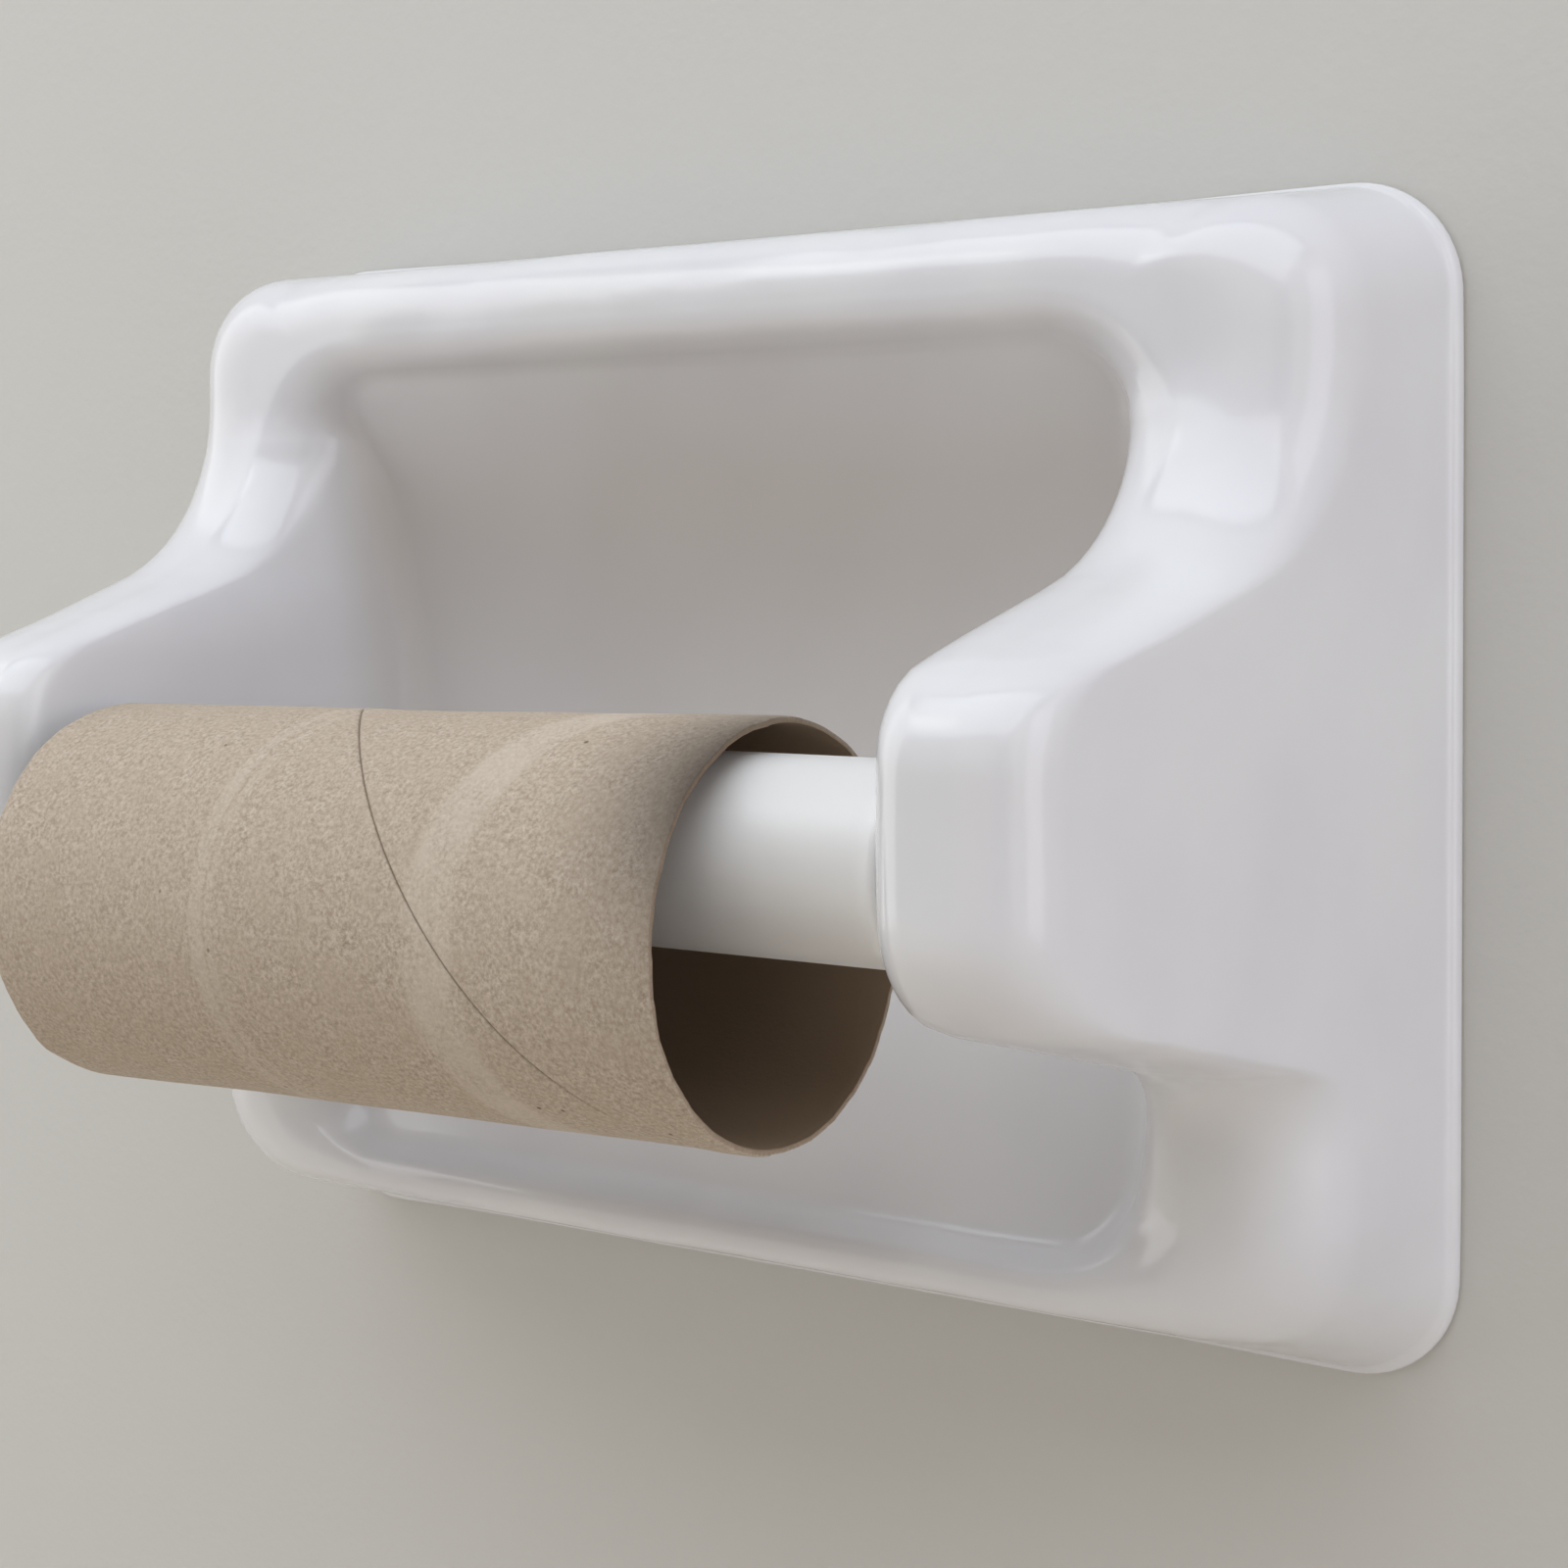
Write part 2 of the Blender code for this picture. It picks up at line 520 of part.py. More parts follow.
def core_pose():
    """Centre and axis of the core, with the top of its left end one gap above the outer sleeve."""
    way = Vector((math.cos(CORE_TILT) * math.cos(CORE_YAW), math.cos(CORE_TILT) * math.sin(CORE_YAW),
                  math.sin(CORE_TILT)))
    half = CORE_LENGTH / 2
    hang = CORE_RADIUS - CORE_WALL - OUTER_SLEEVE_RADIUS - GAP
    drop = math.sqrt(hang ** 2 - (half * way.y) ** 2)
    centre_x = CORE_TO_EAR - MOUTH_HALF_WIDTH + half
    centre = Vector((centre_x, -ROLLER_DEPTH, ROLLER_HEIGHT - drop + half * way.z))
    return centre, way


def build_core(mat):
    inside, half = CORE_RADIUS - CORE_WALL, CORE_LENGTH / 2
    profile = [(-half, inside), (-half, CORE_RADIUS), (half, CORE_RADIUS), (half, inside)]
    core = add_object("cardboard_core", turned("cardboard_core", profile, 72), mat)
    centre, way = core_pose()
    core.rotation_euler = way.to_track_quat("X", "Z").to_euler()
    core.location = centre


def main():
    clear_scene()
    china = material("glazed china", (0.80, 0.80, 0.83), 0.12)
    plastic = material("white plastic", (0.86, 0.86, 0.86), 0.32)
    steel = material("zinc plated steel", (0.62, 0.63, 0.65), 0.35, 1.0)
    plug = material("grey nylon", (0.45, 0.46, 0.47), 0.5)
    kraft = material("kraft cardboard", (0.42, 0.32, 0.22), 0.9)
    build_china(china)
    build_clip(steel)
    build_screws(steel, plug)
    build_roller(plastic, steel)
    build_core(kraft)


main()
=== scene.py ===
"""Looks for the recessed china toilet paper holder, piece by piece from the wall outwards.

Metres, +Z up, wall plane y = 0, room at y < 0, +X to the right for someone facing the wall.
"""
import math

import bpy
import numpy as np
from mathutils import Matrix, Vector


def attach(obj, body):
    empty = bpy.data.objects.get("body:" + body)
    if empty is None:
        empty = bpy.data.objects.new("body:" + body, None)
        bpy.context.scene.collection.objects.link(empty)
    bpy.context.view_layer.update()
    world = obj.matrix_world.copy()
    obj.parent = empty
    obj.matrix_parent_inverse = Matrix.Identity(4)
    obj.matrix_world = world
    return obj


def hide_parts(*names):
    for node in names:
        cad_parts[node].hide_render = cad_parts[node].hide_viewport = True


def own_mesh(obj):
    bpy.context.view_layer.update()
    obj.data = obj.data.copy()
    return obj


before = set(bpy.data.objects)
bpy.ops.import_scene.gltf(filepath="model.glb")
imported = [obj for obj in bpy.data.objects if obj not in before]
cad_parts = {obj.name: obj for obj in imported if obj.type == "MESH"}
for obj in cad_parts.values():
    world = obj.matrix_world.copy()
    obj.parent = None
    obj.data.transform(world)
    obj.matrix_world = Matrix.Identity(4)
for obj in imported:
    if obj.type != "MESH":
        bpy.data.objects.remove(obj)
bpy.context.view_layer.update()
MM = 0.001

# ---- wall plugs ----
# Grey nylon plugs pushed into drilled holes. They are injection moulded, with a satin skin that is
# slightly duller where the mould was spark eroded.


def srgb(text):
    """A colour such as "C8C9CC" as linear red, green, blue and alpha."""
    share = np.array([int(text[k:k + 2], 16) / 255 for k in (0, 2, 4)])
    linear = np.where(share <= 0.04045, share / 12.92, ((share + 0.055) / 1.055) ** 2.4)
    return (*linear.tolist(), 1.0)


def add(tree, kind, inputs=None, **settings):
    """Adds a node. settings are its properties; inputs are values, or sockets to link from."""
    made = tree.nodes.new(kind)
    for name, value in settings.items():
        setattr(made, name, value)
    for key, value in (inputs or {}).items():
        if isinstance(value, bpy.types.NodeSocket):
            tree.links.new(value, made.inputs[key])
        else:
            made.inputs[key].default_value = value
    return made


def new_material(name):
    """An empty material with its node tree and shader."""
    made = bpy.data.materials.new(name)
    made.use_nodes = True
    return made, made.node_tree, made.node_tree.nodes["Principled BSDF"]


def finish_cad(name, material):
    """Gives every material slot of a CAD node the same finish."""
    for part_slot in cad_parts[name].material_slots:
        part_slot.material = material


# moulded nylon: dull satin, cloudy by a few per cent over 3 mm, with a 0.3 mm spark-eroded grain
nylon, tree, shader = new_material("moulded_nylon")
where = add(tree, "ShaderNodeTexCoord").outputs["Object"]
cloud = add(tree, "ShaderNodeTexNoise", {"Vector": where, "Scale": 330.0, "Detail": 2.0})
tone = add(tree, "ShaderNodeValToRGB", {"Fac": cloud.outputs["Fac"]})
tone.color_ramp.elements[0].color = srgb("A9ABAD")
tone.color_ramp.elements[1].color = srgb("BBBDBF")
grain = add(tree, "ShaderNodeTexNoise", {"Vector": where, "Scale": 3300.0, "Detail": 1.0})
dull = add(tree, "ShaderNodeMapRange", {"Value": grain.outputs["Fac"], "To Min": 0.42, "To Max": 0.58})
bump = add(tree, "ShaderNodeBump", {"Height": grain.outputs["Fac"], "Strength": 0.5, "Distance": 0.02 * MM})
tree.links.new(tone.outputs["Color"], shader.inputs["Base Color"])
tree.links.new(dull.outputs["Result"], shader.inputs["Roughness"])
tree.links.new(bump.outputs["Normal"], shader.inputs["Normal"])
shader.inputs["IOR"].default_value = 1.53
for name in ("wall_anchor_upper", "wall_anchor_lower"):
    finish_cad(name, nylon)

# ---- clip screws ----
# Zinc plated and passivated steel, cold headed and slotted. The passivation gives a faint yellow and
# blue cast, and the head keeps the fine rings of its tool.

passivated, tree, shader = new_material("passivated_zinc")
where = add(tree, "ShaderNodeTexCoord").outputs["Object"]
cast = add(tree, "ShaderNodeTexNoise", {"Vector": where, "Scale": 260.0, "Detail": 3.0})
tone = add(tree, "ShaderNodeValToRGB", {"Fac": cast.outputs["Fac"]})
tone.color_ramp.elements[0].position, tone.color_ramp.elements[0].color = 0.35, srgb("CFC39A")
tone.color_ramp.elements[1].position, tone.color_ramp.elements[1].color = 0.65, srgb("C2C6CB")
rings = add(tree, "ShaderNodeTexNoise", {"Vector": where, "Scale": 2500.0, "Detail": 2.0})
dull = add(tree, "ShaderNodeMapRange", {"Value": rings.outputs["Fac"], "To Min": 0.24, "To Max": 0.42})
bump = add(tree, "ShaderNodeBump", {"Height": rings.outputs["Fac"], "Strength": 0.4, "Distance": 0.02 * MM})
tree.links.new(tone.outputs["Color"], shader.inputs["Base Color"])
tree.links.new(dull.outputs["Result"], shader.inputs["Roughness"])
tree.links.new(bump.outputs["Normal"], shader.inputs["Normal"])
shader.inputs["Metallic"].default_value = 1.0
for name in ("clip_screw_upper", "clip_screw_lower"):
    finish_cad(name, passivated)

# ---- wall clip ----
# Galvanised steel strip, 1.5 mm thick, folded to a hat section with two punched holes. The strip is
# rolled along its length, so its streaks run upright, and its zinc has crystals a few millimetres wide.

galvanised, tree, shader = new_material("galvanised_strip")
where = add(tree, "ShaderNodeTexCoord").outputs["Object"]
rolled = add(tree, "ShaderNodeMapping", {"Vector": where, "Scale": (3000.0, 3000.0, 90.0)})
streaks = add(tree, "ShaderNodeTexNoise", {"Vector": rolled.outputs["Vector"], "Scale": 1.0, "Detail": 2.0})
crystals = add(tree, "ShaderNodeTexVoronoi", {"Vector": where, "Scale": 330.0})
tone = add(tree, "ShaderNodeValToRGB", {"Fac": crystals.outputs["Color"]})
tone.color_ramp.elements[0].color = srgb("A7ABAF")
tone.color_ramp.elements[1].color = srgb("C9CCCF")
dull = add(tree, "ShaderNodeMapRange", {"Value": streaks.outputs["Fac"], "To Min": 0.28, "To Max": 0.5})
bump = add(tree, "ShaderNodeBump", {"Height": streaks.outputs["Fac"], "Strength": 0.35,
                                    "Distance": 0.02 * MM})
tree.links.new(tone.outputs["Color"], shader.inputs["Base Color"])
tree.links.new(dull.outputs["Result"], shader.inputs["Roughness"])
tree.links.new(bump.outputs["Normal"], shader.inputs["Normal"])
shader.inputs["Metallic"].default_value = 1.0
finish_cad("wall_clip", galvanised)

# ---- china body ----
# Vitreous china, slip cast in one piece with a hollow back and glazed white. The glaze is glassy and
# pools a little, so its reflections waver, and the rim and hollow that face the wall are bare bisque.

PLATE_HALF_WIDTH, PLATE_HALF_HEIGHT, PLATE_CORNER = 86.0 * MM, 65.0 * MM, 12.0 * MM
SIDE_LEAN, TOP_LEAN, BOTTOM_LEAN = 0.10, 0.11, 0.34
MOUTH_HALF_WIDTH, MOUTH_TOP, MOUTH_BOTTOM, MOUTH_CORNER = 60.5 * MM, 51.7 * MM, -51.5 * MM, 10.5 * MM
SPREAD_ABOVE, SPREAD_BELOW = 1.5 * MM, 3.3 * MM
FRAME_DEPTH_TOP, FRAME_DEPTH_BOTTOM = 27.5 * MM, 29.0 * MM
WALL_LEAN_IN = 2.5 * MM
RECESS_DEPTH, RECESS_RADIUS = 10.0 * MM, 92.0 * MM
BEAD, BEAD_DEPTH, BEAD_TOP = 0.8 * MM, 1.3 * MM, 2.1 * MM
BEAD_BACK_ROUND, BEAD_ROUND, HOLLOW_ROUND = 0.3 * MM, 0.6 * MM, 1.2 * MM
FLANK_ROUND, EAR_TIP_ROUND = 10.0 * MM, 7.0 * MM
MOUTH_ROUND, EAR_INNER_ROUND, RECESS_ROUND = 8.0 * MM, 5.5 * MM, 9.0 * MM
EVEN, FRAME_SHARES, WALL_SHARES = (0.49, 0.49), (0.62, 0.36), (0.70, 0.28)
FLOOR_INSET = 10.5 * MM
ROLLER_DEPTH, ROLLER_HEIGHT = 59.7 * MM, -2.8 * MM
EAR_START, EAR_DEPTH = 60 * MM, 75.0 * MM
EAR_ROOT_TOP, EAR_TIP_TOP = 32.0 * MM, 18.0 * MM
EAR_TIP_BOTTOM, EAR_ROOT_BOTTOM = -12.5 * MM, -25.2 * MM
EAR_ROUNDS = (26.0 * MM, 9.8 * MM, 12.4 * MM, 9.0 * MM)
RIM, BACK_WALL, HOLLOW_MAX = 7.0 * MM, 9.0 * MM, 44.0 * MM
CHANNEL_MIN, INNER_WALL, HOLLOW_SLOPE = 3.0 * MM, 5.0 * MM, 6.0 * MM
PAD_DEPTH = 5.2 * MM
CLIP_HALF_WIDTH, WING_TIP, CLIP_STANDOFF = 25.5 * MM, 32.0 * MM, 3.4 * MM
CLIP_BOTTOM, CLIP_TOP = -24.0 * MM, 36.0 * MM
RAIL_BACK, RAIL_WIDTH, RAIL_OVERLAP = 0.8 * MM, 3.4 * MM, 0.7 * MM
RAIL_RUNS_ON, STOP_HEIGHT = 2.5 * MM, 5 * MM
GAP = 0.3 * MM
SOCKET_RADIUS, SOCKET_END, SOCKET_FLARE = 4.3 * MM, 66.2 * MM, 1.2 * MM
NET_HALF_WIDTH = MOUTH_HALF_WIDTH - FLOOR_INSET
NET_TOP, NET_BOTTOM = MOUTH_TOP - FLOOR_INSET, MOUTH_BOTTOM + FLOOR_INSET


def side_view():
    """The frame's front edge seen from the side: straight runs between corners, each corner an arc."""
    far = 2 * PLATE_HALF_HEIGHT
    corners = np.array([(far, FRAME_DEPTH_TOP),
                        (ROLLER_HEIGHT + EAR_ROOT_TOP, FRAME_DEPTH_TOP),
                        (ROLLER_HEIGHT + EAR_TIP_TOP, EAR_DEPTH),
                        (ROLLER_HEIGHT + EAR_TIP_BOTTOM, EAR_DEPTH),
                        (ROLLER_HEIGHT + EAR_ROOT_BOTTOM, FRAME_DEPTH_BOTTOM),
                        (-far, FRAME_DEPTH_BOTTOM)])
    line = [corners[:1]]
    for before, corner, after, radius in zip(corners, corners[1:], corners[2:], EAR_ROUNDS):
        u, v = before - corner, after - corner
        u, v = u / np.linalg.norm(u), v / np.linalg.norm(v)
        half = math.acos(u @ v) / 2
        middle = (u + v) / np.linalg.norm(u + v)
        centre = corner + middle * radius / math.sin(half)
        start, end = u * radius / math.tan(half), v * radius / math.tan(half)
        first, last = corner + start - centre, corner + end - centre
        sweep = math.pi - 2 * half
        t = np.linspace(0, 1, 24)[:, None]
        line.append(centre + (np.sin((1 - t) * sweep) * first + np.sin(t * sweep) * last) / math.sin(sweep))
    return np.concatenate(line + [corners[-1:]])[::-1]


def recess_depth(height):
    """Depth of the recess: one arc from top to bottom, deepest on the plate's middle line."""
    return RECESS_DEPTH + RECESS_RADIUS - np.sqrt(RECESS_RADIUS ** 2 - height ** 2)


def net_stations(side_steps, corner_steps, top_steps):
    """Points round a rectangle in the recess, and the way out from each.

    Along a side every way is square to it. At a corner the ways fan out, so that they meet the plate's
    edge at even steps along its straight, its quarter circle and its next straight.
    """
    corners = np.array([(NET_HALF_WIDTH, NET_BOTTOM), (NET_HALF_WIDTH, NET_TOP),
                        (-NET_HALF_WIDTH, NET_TOP), (-NET_HALF_WIDTH, NET_BOTTOM)])
    wide = PLATE_HALF_WIDTH - NET_HALF_WIDTH
    high = (PLATE_HALF_HEIGHT - NET_TOP, PLATE_HALF_HEIGHT + NET_BOTTOM)
    margins = [(wide, high[0]), (high[0], wide), (wide, high[1]), (high[1], wide)]
    points, ways = [], []
    for side in range(4):
        turn = np.array([[math.cos(side * math.pi / 2), -math.sin(side * math.pi / 2)],
                         [math.sin(side * math.pi / 2), math.cos(side * math.pi / 2)]])
        start, end = corners[side], corners[(side + 1) % 4]
        steps = side_steps if side % 2 == 0 else top_steps
        share = np.arange(steps)[:, None] / steps
        points.append(start + (end - start) * share)
        ways.append(np.tile(turn @ (1, 0), (steps, 1)))
        across, up = margins[side]
        first, second = up - PLATE_CORNER, across - PLATE_CORNER
        arc = PLATE_CORNER * math.pi / 2
        run = (first + arc + second) * np.arange(corner_steps) / corner_steps
        angle = np.clip((run - first) / PLATE_CORNER, 0, math.pi / 2)
        x = across - PLATE_CORNER * (1 - np.cos(angle)) - np.maximum(run - first - arc, 0)
        z = np.minimum(run, first) + PLATE_CORNER * np.sin(angle)
        fan = np.stack([x, z], axis=1)
        points.append(np.tile(end, (corner_steps, 1)))
        ways.append((fan / np.linalg.norm(fan, axis=1, keepdims=True)) @ turn.T)
    return np.concatenate(points), np.concatenate(ways)


def reach(ways, half_width, top, bottom, corner):
    """Distance along each way from the net's rectangle to a larger one whose corners are arcs."""
    across, up = np.abs(ways[:, 0]), np.abs(ways[:, 1])
    wide = half_width - NET_HALF_WIDTH
    high = np.where(ways[:, 1] >= 0, top - NET_TOP, NET_BOTTOM - bottom)
    straight = np.minimum(wide / np.maximum(across, 1e-9), high / np.maximum(up, 1e-9))
    cx, cz = wide - corner, high - corner
    along = across * cx + up * cz
    arc = along + np.sqrt(np.maximum(along ** 2 - cx ** 2 - cz ** 2 + corner ** 2, 0))
    return np.where((arc * across > cx) & (arc * up > cz), arc, straight)


def plate_edge(ways, depth):
    """Distance out to the plate's outline at a depth, by which all four of its sides have leaned in."""
    return reach(ways, PLATE_HALF_WIDTH - SIDE_LEAN * depth, PLATE_HALF_HEIGHT - TOP_LEAN * depth,
                 BOTTOM_LEAN * depth - PLATE_HALF_HEIGHT, PLATE_CORNER)


def rounded_corner(before, corner, after, tangent, shares, steps):
    """An arc at the corner of every section: a weighted quadratic curve, which is a true circle arc.

    Its tangents are no longer than their shares of the edges beside the corner.
    """
    u, v = before - corner, after - corner
    u_len = np.linalg.norm(u, axis=1, keepdims=True)
    v_len = np.linalg.norm(v, axis=1, keepdims=True)
    u, v = u / u_len, v / v_len
    tangent = np.minimum(tangent, np.minimum(shares[0] * u_len, shares[1] * v_len))
    weight = np.sin(np.arccos(np.clip(np.sum(u * v, axis=1, keepdims=True), -1, 1)) / 2)
    t = np.linspace(0, 1, steps)[:, None, None]
    b0, b1, b2 = (1 - t) ** 2, 2 * t * (1 - t) * weight, t ** 2
    return (b0 * (corner + u * tangent) + b1 * corner + b2 * (corner + v * tangent)) / (b0 + b1 + b2)


def joined(pieces, fills):
    """Arcs one after another, with fills[k] even rows put into the straight run after arc k."""
    rows = [pieces[0]]
    for before, after, count in zip(pieces, pieces[1:], fills):
        t = np.linspace(0, 1, count + 2)[1:-1, None, None]
        rows += [before[-1] + (after[0] - before[-1]) * t, after]
    return np.concatenate(rows)


def china_rows():
    """Every section of the china: hollow back, foot, flank, frame or ear, side wall and recess."""
    points, ways = net_stations(64, 40, 96)
    edge = plate_edge(ways, 0.0)
    mouth = reach(ways, MOUTH_HALF_WIDTH, MOUTH_TOP, MOUTH_BOTTOM, MOUTH_CORNER)
    line = side_view()
    crest = np.interp(points[:, 1] + ways[:, 1] * (edge + mouth) / 2, line[:, 0], line[:, 1])
    foot = mouth - WALL_LEAN_IN

    def pair(out, depth):
        return np.stack([out + 0 * crest, depth + 0 * crest], axis=-1)

    flank_foot = pair(edge, 0.0)
    flank_top = pair(plate_edge(ways, crest), crest)
    above_roller = points[:, 1] + ways[:, 1] * mouth > ROLLER_HEIGHT
    spread = np.where(above_roller, SPREAD_ABOVE, SPREAD_BELOW) * ways[:, 0] ** 2
    spread *= np.interp(crest, [FRAME_DEPTH_BOTTOM, EAR_DEPTH], [1.0, 0.0])
    mouth_edge = pair(mouth + spread, crest)
    wall_foot = pair(foot, recess_depth(points[:, 1] + ways[:, 1] * foot))
    net_edge = pair(0.0, recess_depth(points[:, 1]))
    hollow = np.minimum(crest - BACK_WALL, HOLLOW_MAX)
    inner = foot + INNER_WALL
    outer = np.maximum(plate_edge(ways, hollow) - RIM, inner + CHANNEL_MIN)
    rim_inner = pair(np.maximum(edge - RIM, outer + MM / 2), 0.0)
    hollow_corners = [pair(0.0, PAD_DEPTH), pair(inner - HOLLOW_SLOPE, PAD_DEPTH),
                      pair(inner, hollow), pair(outer, hollow), rim_inner, flank_foot]
    flank_round = np.interp(crest, [EAR_START, EAR_DEPTH], [FLANK_ROUND, EAR_TIP_ROUND])[:, None]
    mouth_round = np.interp(crest, [FRAME_DEPTH_BOTTOM, EAR_START], [MOUTH_ROUND, EAR_INNER_ROUND])[:, None]
    back = [hollow_corners[0][None]]
    for k in range(1, 5):
        back.append(rounded_corner(*hollow_corners[k - 1:k + 2], HOLLOW_ROUND, EVEN, 4))
    back = joined(back, (8, 4, 1, 4))
    bead = edge + BEAD * ways[:, 0] ** 2
    bead_back, bead_front = pair(bead, 0.0), pair(bead, BEAD_DEPTH)
    bead_root = pair(plate_edge(ways, BEAD_TOP), BEAD_TOP)
    front = joined([
        rounded_corner(rim_inner, bead_back, bead_front, BEAD_BACK_ROUND, EVEN, 3),
        rounded_corner(bead_back, bead_front, bead_root, BEAD_ROUND, EVEN, 5),
        rounded_corner(bead_front, bead_root, flank_top, BEAD_ROUND, EVEN, 5),
        rounded_corner(flank_foot, flank_top, mouth_edge, flank_round, (EVEN[0], FRAME_SHARES[0]), 15),
        rounded_corner(flank_top, mouth_edge, wall_foot, mouth_round, (FRAME_SHARES[1], WALL_SHARES[0]),
                       12),
        rounded_corner(mouth_edge, wall_foot, net_edge, RECESS_ROUND, (WALL_SHARES[1], EVEN[0]), 14),
    ], (1, 0, 10, 3, 10))
    sections = np.concatenate([back, front])
    ring = np.stack([points[:, 0] + ways[:, 0] * sections[..., 0],
                     -sections[..., 1],
                     points[:, 1] + ways[:, 1] * sections[..., 0]], axis=-1)
    middle = np.array([0.0, (NET_TOP + NET_BOTTOM) / 2])
    share = np.linspace(1, 0, 20)[1:-1, None, None]
    flat = middle + (ring[-1][:, [0, 2]] - middle) * share
    floor = np.stack([flat[..., 0], -recess_depth(flat[..., 1]), flat[..., 1]], axis=-1)
    front_pole = (0.0, -float(recess_depth(middle[1])), middle[1])
    return np.concatenate([ring, floor]), (0.0, -PAD_DEPTH, middle[1]), front_pole, len(back)


def surface(name, rows, poles=None, loop=False):
    """A mesh from a grid of points, rows by columns, whose columns always close on themselves.

    The first and last rows either fan in to the two poles, or join each other when loop is true.
    """
    count, around = rows.shape[:2]
    index = np.arange(count * around).reshape(count, around)
    upper = np.roll(index, -1, axis=0) if loop else index[1:]
    lower = index if loop else index[:-1]
    quads = np.stack([lower, upper, np.roll(upper, -1, axis=1), np.roll(lower, -1, axis=1)], axis=-1)
    faces = quads.reshape(-1, 4).tolist()
    points = rows.reshape(-1, 3)
    if poles is not None:
        points = np.concatenate([points, np.array(poles, float)])
        first, last = len(points) - 2, len(points) - 1
        near, far = index[0], index[-1]
        faces += np.stack([np.full(around, first), near, np.roll(near, -1)], axis=-1).tolist()
        faces += np.stack([far, np.full(around, last), np.roll(far, -1)], axis=-1).tolist()
    made = bpy.data.meshes.new(name)
    made.from_pydata(points.tolist(), [], faces)
    if made.validate():
        raise ValueError(f"{name} has faulty faces")
    return made


def place(name, mesh, material=None, smooth_angle=40.0):
    """A new object at the origin for a mesh that already lies in its place."""
    mesh.shade_smooth()
    mesh.set_sharp_from_angle(angle=math.radians(smooth_angle))
    made = bpy.data.objects.new(name, mesh)
    bpy.context.scene.collection.objects.link(made)
    if material is not None:
        made.data.materials.append(material)
    return made


def co(mesh):
    """The mesh's points as an array."""
    flat = np.zeros(3 * len(mesh.vertices), np.float32)
    mesh.vertices.foreach_get("co", flat)
    return flat.reshape(-1, 3).astype(float)


def outward(mesh):
    """Turns the whole mesh inside out if the volume that it encloses comes out negative."""
    mesh.calc_loop_triangles()
    corner = np.zeros(3 * len(mesh.loop_triangles), np.int32)
    mesh.loop_triangles.foreach_get("vertices", corner)
    a, b, c = (co(mesh)[corner.reshape(-1, 3)[:, k]] for k in range(3))
    if np.einsum("ij,ij->", a, np.cross(b, c)) < 0:
        mesh.flip_normals()
    return mesh


def lathe(profile, axis_point, steps):
    """Rows of rings about a line along X: every profile point is (x, radius)."""
    angle = np.arange(steps) * 2 * math.pi / steps
    x, radius = np.array(profile, float).T
    return np.stack([x[:, None] + 0 * angle,
                     axis_point[1] + radius[:, None] * np.cos(angle),
                     axis_point[2] + radius[:, None] * np.sin(angle)], axis=-1)


def prism(name, outline, hub, bottom, top):
    """An outline of (x, depth) points carried upright, closed by fans about its hub."""
    outline = np.array(outline, float)
    rows = np.stack([np.stack([outline[:, 0], -outline[:, 1], np.full(len(outline), z)], axis=-1)
                     for z in (bottom, top)])
    return surface(name, rows, [(hub[0], -hub[1], bottom), (hub[0], -hub[1], top)])


def combined(body, tools):
    """body with each (mesh, operation) joined to it or cut from it, as one mesh."""
    for mesh, operation in tools:
        tool = place(mesh.name, outward(mesh))
        step = body.modifiers.new(mesh.name, "BOOLEAN")
        step.operation, step.object, step.solver = operation, tool, "MANIFOLD"
    bpy.context.view_layer.update()
    result = bpy.data.meshes.new_from_object(body.evaluated_get(bpy.context.evaluated_depsgraph_get()))
    for step in list(body.modifiers):
        bpy.data.objects.remove(step.object, do_unlink=True)
    body.modifiers.clear()
    body.data = result
    return body


rows, back_pole, front_pole, back_rows = china_rows()
china_mesh = outward(surface("glazed_china_body", rows, (back_pole, front_pole)))
points = co(china_mesh)
normal = np.zeros(points.size, np.float32)
china_mesh.vertex_normals.foreach_get("vector", normal)
# the casting isn't dead true: three long waves, up to 0.15 mm high, that die out towards the wall
wave = (0.07 * MM * np.sin(points @ (95.0, 60.0, 150.0) + 0.6)
        + 0.05 * MM * np.sin(points @ (-210.0, 140.0, 90.0) + 2.1)
        + 0.03 * MM * np.sin(points @ (330.0, -120.0, -280.0) + 4.0))
wave *= np.clip((-points[:, 1] - 3 * MM) / (6 * MM), 0, 1)
wave[:back_rows * rows.shape[1]] = 0
points += normal.reshape(-1, 3) * wave[:, None]
china_mesh.vertices.foreach_set("co", points.astype(np.float32).ravel())
china_mesh.update()
china = place("glazed_china_body", china_mesh)

# two hooked rails that slide down behind the clip's wings, and a stop across their tops
near, hook = WING_TIP + GAP, CLIP_HALF_WIDTH + RAIL_OVERLAP
far, lip, bed = near + RAIL_WIDTH, CLIP_STANDOFF - GAP, PAD_DEPTH + 2 * MM
tools = []
for side, label in ((1, "right"), (-1, "left")):
    outline = [(side * x, depth) for x, depth in ((hook, RAIL_BACK), (far, RAIL_BACK), (far, bed),
                                                  (near, bed), (near, lip), (hook, lip))]
    hub = (side * (near + far) / 2, lip - MM)
    tools.append((prism(f"rail_{label}", outline, hub, CLIP_BOTTOM, CLIP_TOP + GAP + RAIL_RUNS_ON),
                  "UNION"))
stop_half = near + RAIL_WIDTH / 2
outline = [(-stop_half, RAIL_BACK), (stop_half, RAIL_BACK), (stop_half, bed), (-stop_half, bed)]
tools.append((prism("stop", outline, (0.0, 3 * MM), CLIP_TOP + GAP, CLIP_TOP + GAP + STOP_HEIGHT), "UNION"))
